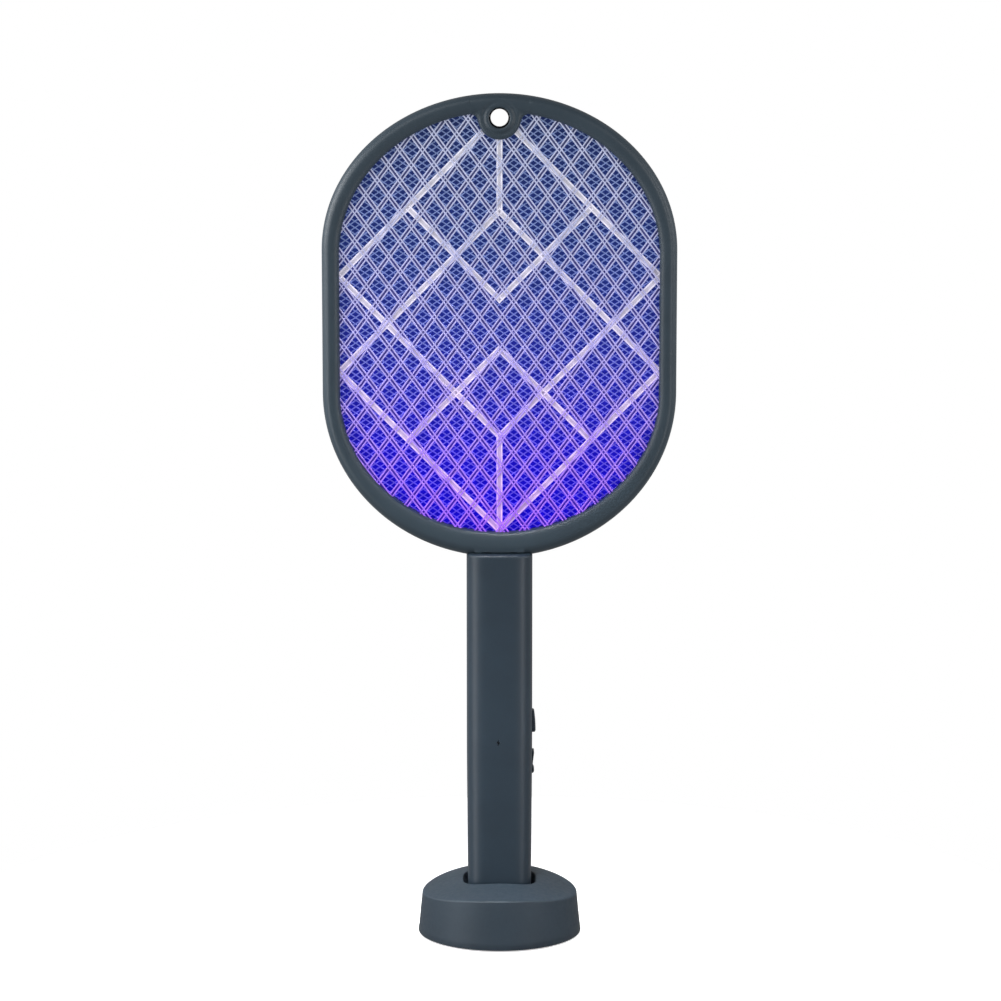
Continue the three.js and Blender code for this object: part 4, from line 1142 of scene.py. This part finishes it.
piece(base_shell("base_skin"), "base", "slate_plastic", "base_upper_shell")
piece(bottom_cover("base_cover"), "base", "dark_plastic", "base_bottom_cover")
piece(usb_sleeve("inlet_sleeve"), "base", "steel", "usb_c_port")
piece(usb_tongue("inlet_tongue"), "base", "dark_plastic")
for number, spot in enumerate(FOOT_SPOTS, 1):
    foot = turned(f"foot_pad_{number}", RUBBER_FOOT, spot, "z", BLACK_RUBBER)
    piece(foot, "base", "black_rubber", f"rubber_foot_{number}")
fixings("base", "base", BASE_SCREW_SPOTS, "z", head=2.6, shank=1.1, tip=14, neck=1.7, back=0.9)
for word, spot in PIN_SPOTS:
    piece(turned(f"pin_{word}", PIN, spot, "z", GOLD), f"contact_pin_{word}", "brass", f"contact_pin_{word}")
    piece(turned(f"guide_{word}", PIN_GUIDE, spot, "z", GOLD), "base", "brass", f"pin_barrel_{word}")

NODE_LOOKS = {
    BOARD: ("lamp_strip", "main_board", "base_board"),
    CLEAR: ("uv_lamp_1", "uv_lamp_2", "uv_lamp_3", "uv_lamp_4", "charge_light_lamp"),
    LENS: ("charge_light_lens",),
    DARK_SLATE: ("handle_end_cap", "trigger_switch", "battery_cradle"),
    WHITE: ("trigger_stem",),
    STEEL: ("mode_switch",),
    GOLD: ("charge_contact_left", "charge_contact_right"),
    COPPER: ("hv_transformer",),
    FILM: ("hv_capacitor",),
    CELL: ("battery_cell",),
    RED: ("hv_lead",),
    BLACK_RUBBER: ("ground_lead", "lamp_lead"),
}
for material, names in NODE_LOOKS.items():
    for name in names:
        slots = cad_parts[name].data.materials
        slots.clear()
        slots.append(material)

# ---------------- stage, light and camera
FLOOR_RADIUS, FLOOR_HEIGHT = 350, -0.1  # millimetres; the rest of this section is in metres


def floor():
    """A pale disc that the camera sees and the object doesn't."""
    material, tree, shader = new_material("white_floor")
    shader.inputs["Base Color"].default_value = (0.86, 0.86, 0.86, 1)
    shader.inputs["Roughness"].default_value = 0.8
    shader.inputs["Emission Color"].default_value = (1, 1, 1, 1)
    shader.inputs["Emission Strength"].default_value = 0.62
    ring = lathe([(FLOOR_RADIUS, FLOOR_HEIGHT)], (0, 0, 0), "z", 96)[0]
    disc = new_object("floor", ring, [list(range(96))], material)
    disc.visible_glossy = False
    disc.visible_diffuse = False


def surroundings(seen, front, rear):
    """A plain surround: white behind the object, and a soft gradient from front to rear that lights it."""
    world = bpy.data.worlds.new("surround")
    bpy.context.scene.world = world
    world.use_nodes = True
    tree = world.node_tree
    tree.nodes.clear()
    way = add_node(tree, "ShaderNodeTexCoord").outputs["Generated"]
    back = add_node(tree, "ShaderNodeVectorMath", {"operation": "DOT_PRODUCT"}, Vector=way)
    back.inputs[1].default_value = (0, 1, -1.3)
    lit = mapped(tree, back.outputs["Value"], -0.7, 0.8, front, rear, interpolation_type="SMOOTHSTEP")
    camera_ray = add_node(tree, "ShaderNodeLightPath").outputs["Is Camera Ray"]
    strength = mapped(tree, camera_ray, 0, 1, lit, seen)
    background = add_node(tree, "ShaderNodeBackground", Color=(1, 1, 1, 1), Strength=strength)
    add_node(tree, "ShaderNodeOutputWorld", Surface=background.outputs["Background"])


def aim(obj, place, target):
    """Puts a light or a camera at a place and turns it to look at a target."""
    obj.location = place
    obj.rotation_euler = (Vector(target) - Vector(place)).to_track_quat("-Z", "Y").to_euler()


def softbox(name, place, target, size, power, spread=180):
    light = bpy.data.lights.new(name, "AREA")
    light.shape = "RECTANGLE"
    light.size, light.size_y = size
    light.energy = power
    light.spread = math.radians(spread)
    aim(linked(name, light), place, target)


CAMERA_FROM, CAMERA_TO = (0.0006, -1.8815, 0.5285), (0.0006, 0, 0.2641)
CAMERA_LENS, CAMERA_SENSOR = 114.4, 36


def camera():
    data = bpy.data.cameras.new("camera")
    data.lens, data.sensor_width = CAMERA_LENS, CAMERA_SENSOR
    obj = linked("camera", data)
    aim(obj, CAMERA_FROM, CAMERA_TO)
    bpy.context.scene.camera = obj


floor()
surroundings(seen=1.0, front=0.21, rear=0.36)
softbox("left_softbox", (-1.12, -0.72, 0.4), (0, 0, 0.3), (0.75, 1.7), 13)
softbox("right_softbox", (1.0, -0.95, 0.45), (0, 0, 0.25), (0.3, 1.7), 8.5)
softbox("left_side", (-0.75, 0.05, 0.6), (0, 0, 0.1), (0.5, 0.5), 5)
softbox("right_side", (0.85, 0.05, 0.6), (0, 0, 0.2), (0.4, 0.6), 2)
softbox("key_softbox", (-0.4, -0.45, 1.25), (0, 0, 0.1), (0.6, 0.5), 2)
softbox("base_softbox", (-0.12, -0.5, 1.15), (0, -0.03, 0.03), (0.25, 0.2), 0.22, 14)
camera()
bpy.context.scene.view_settings.view_transform = "Standard"
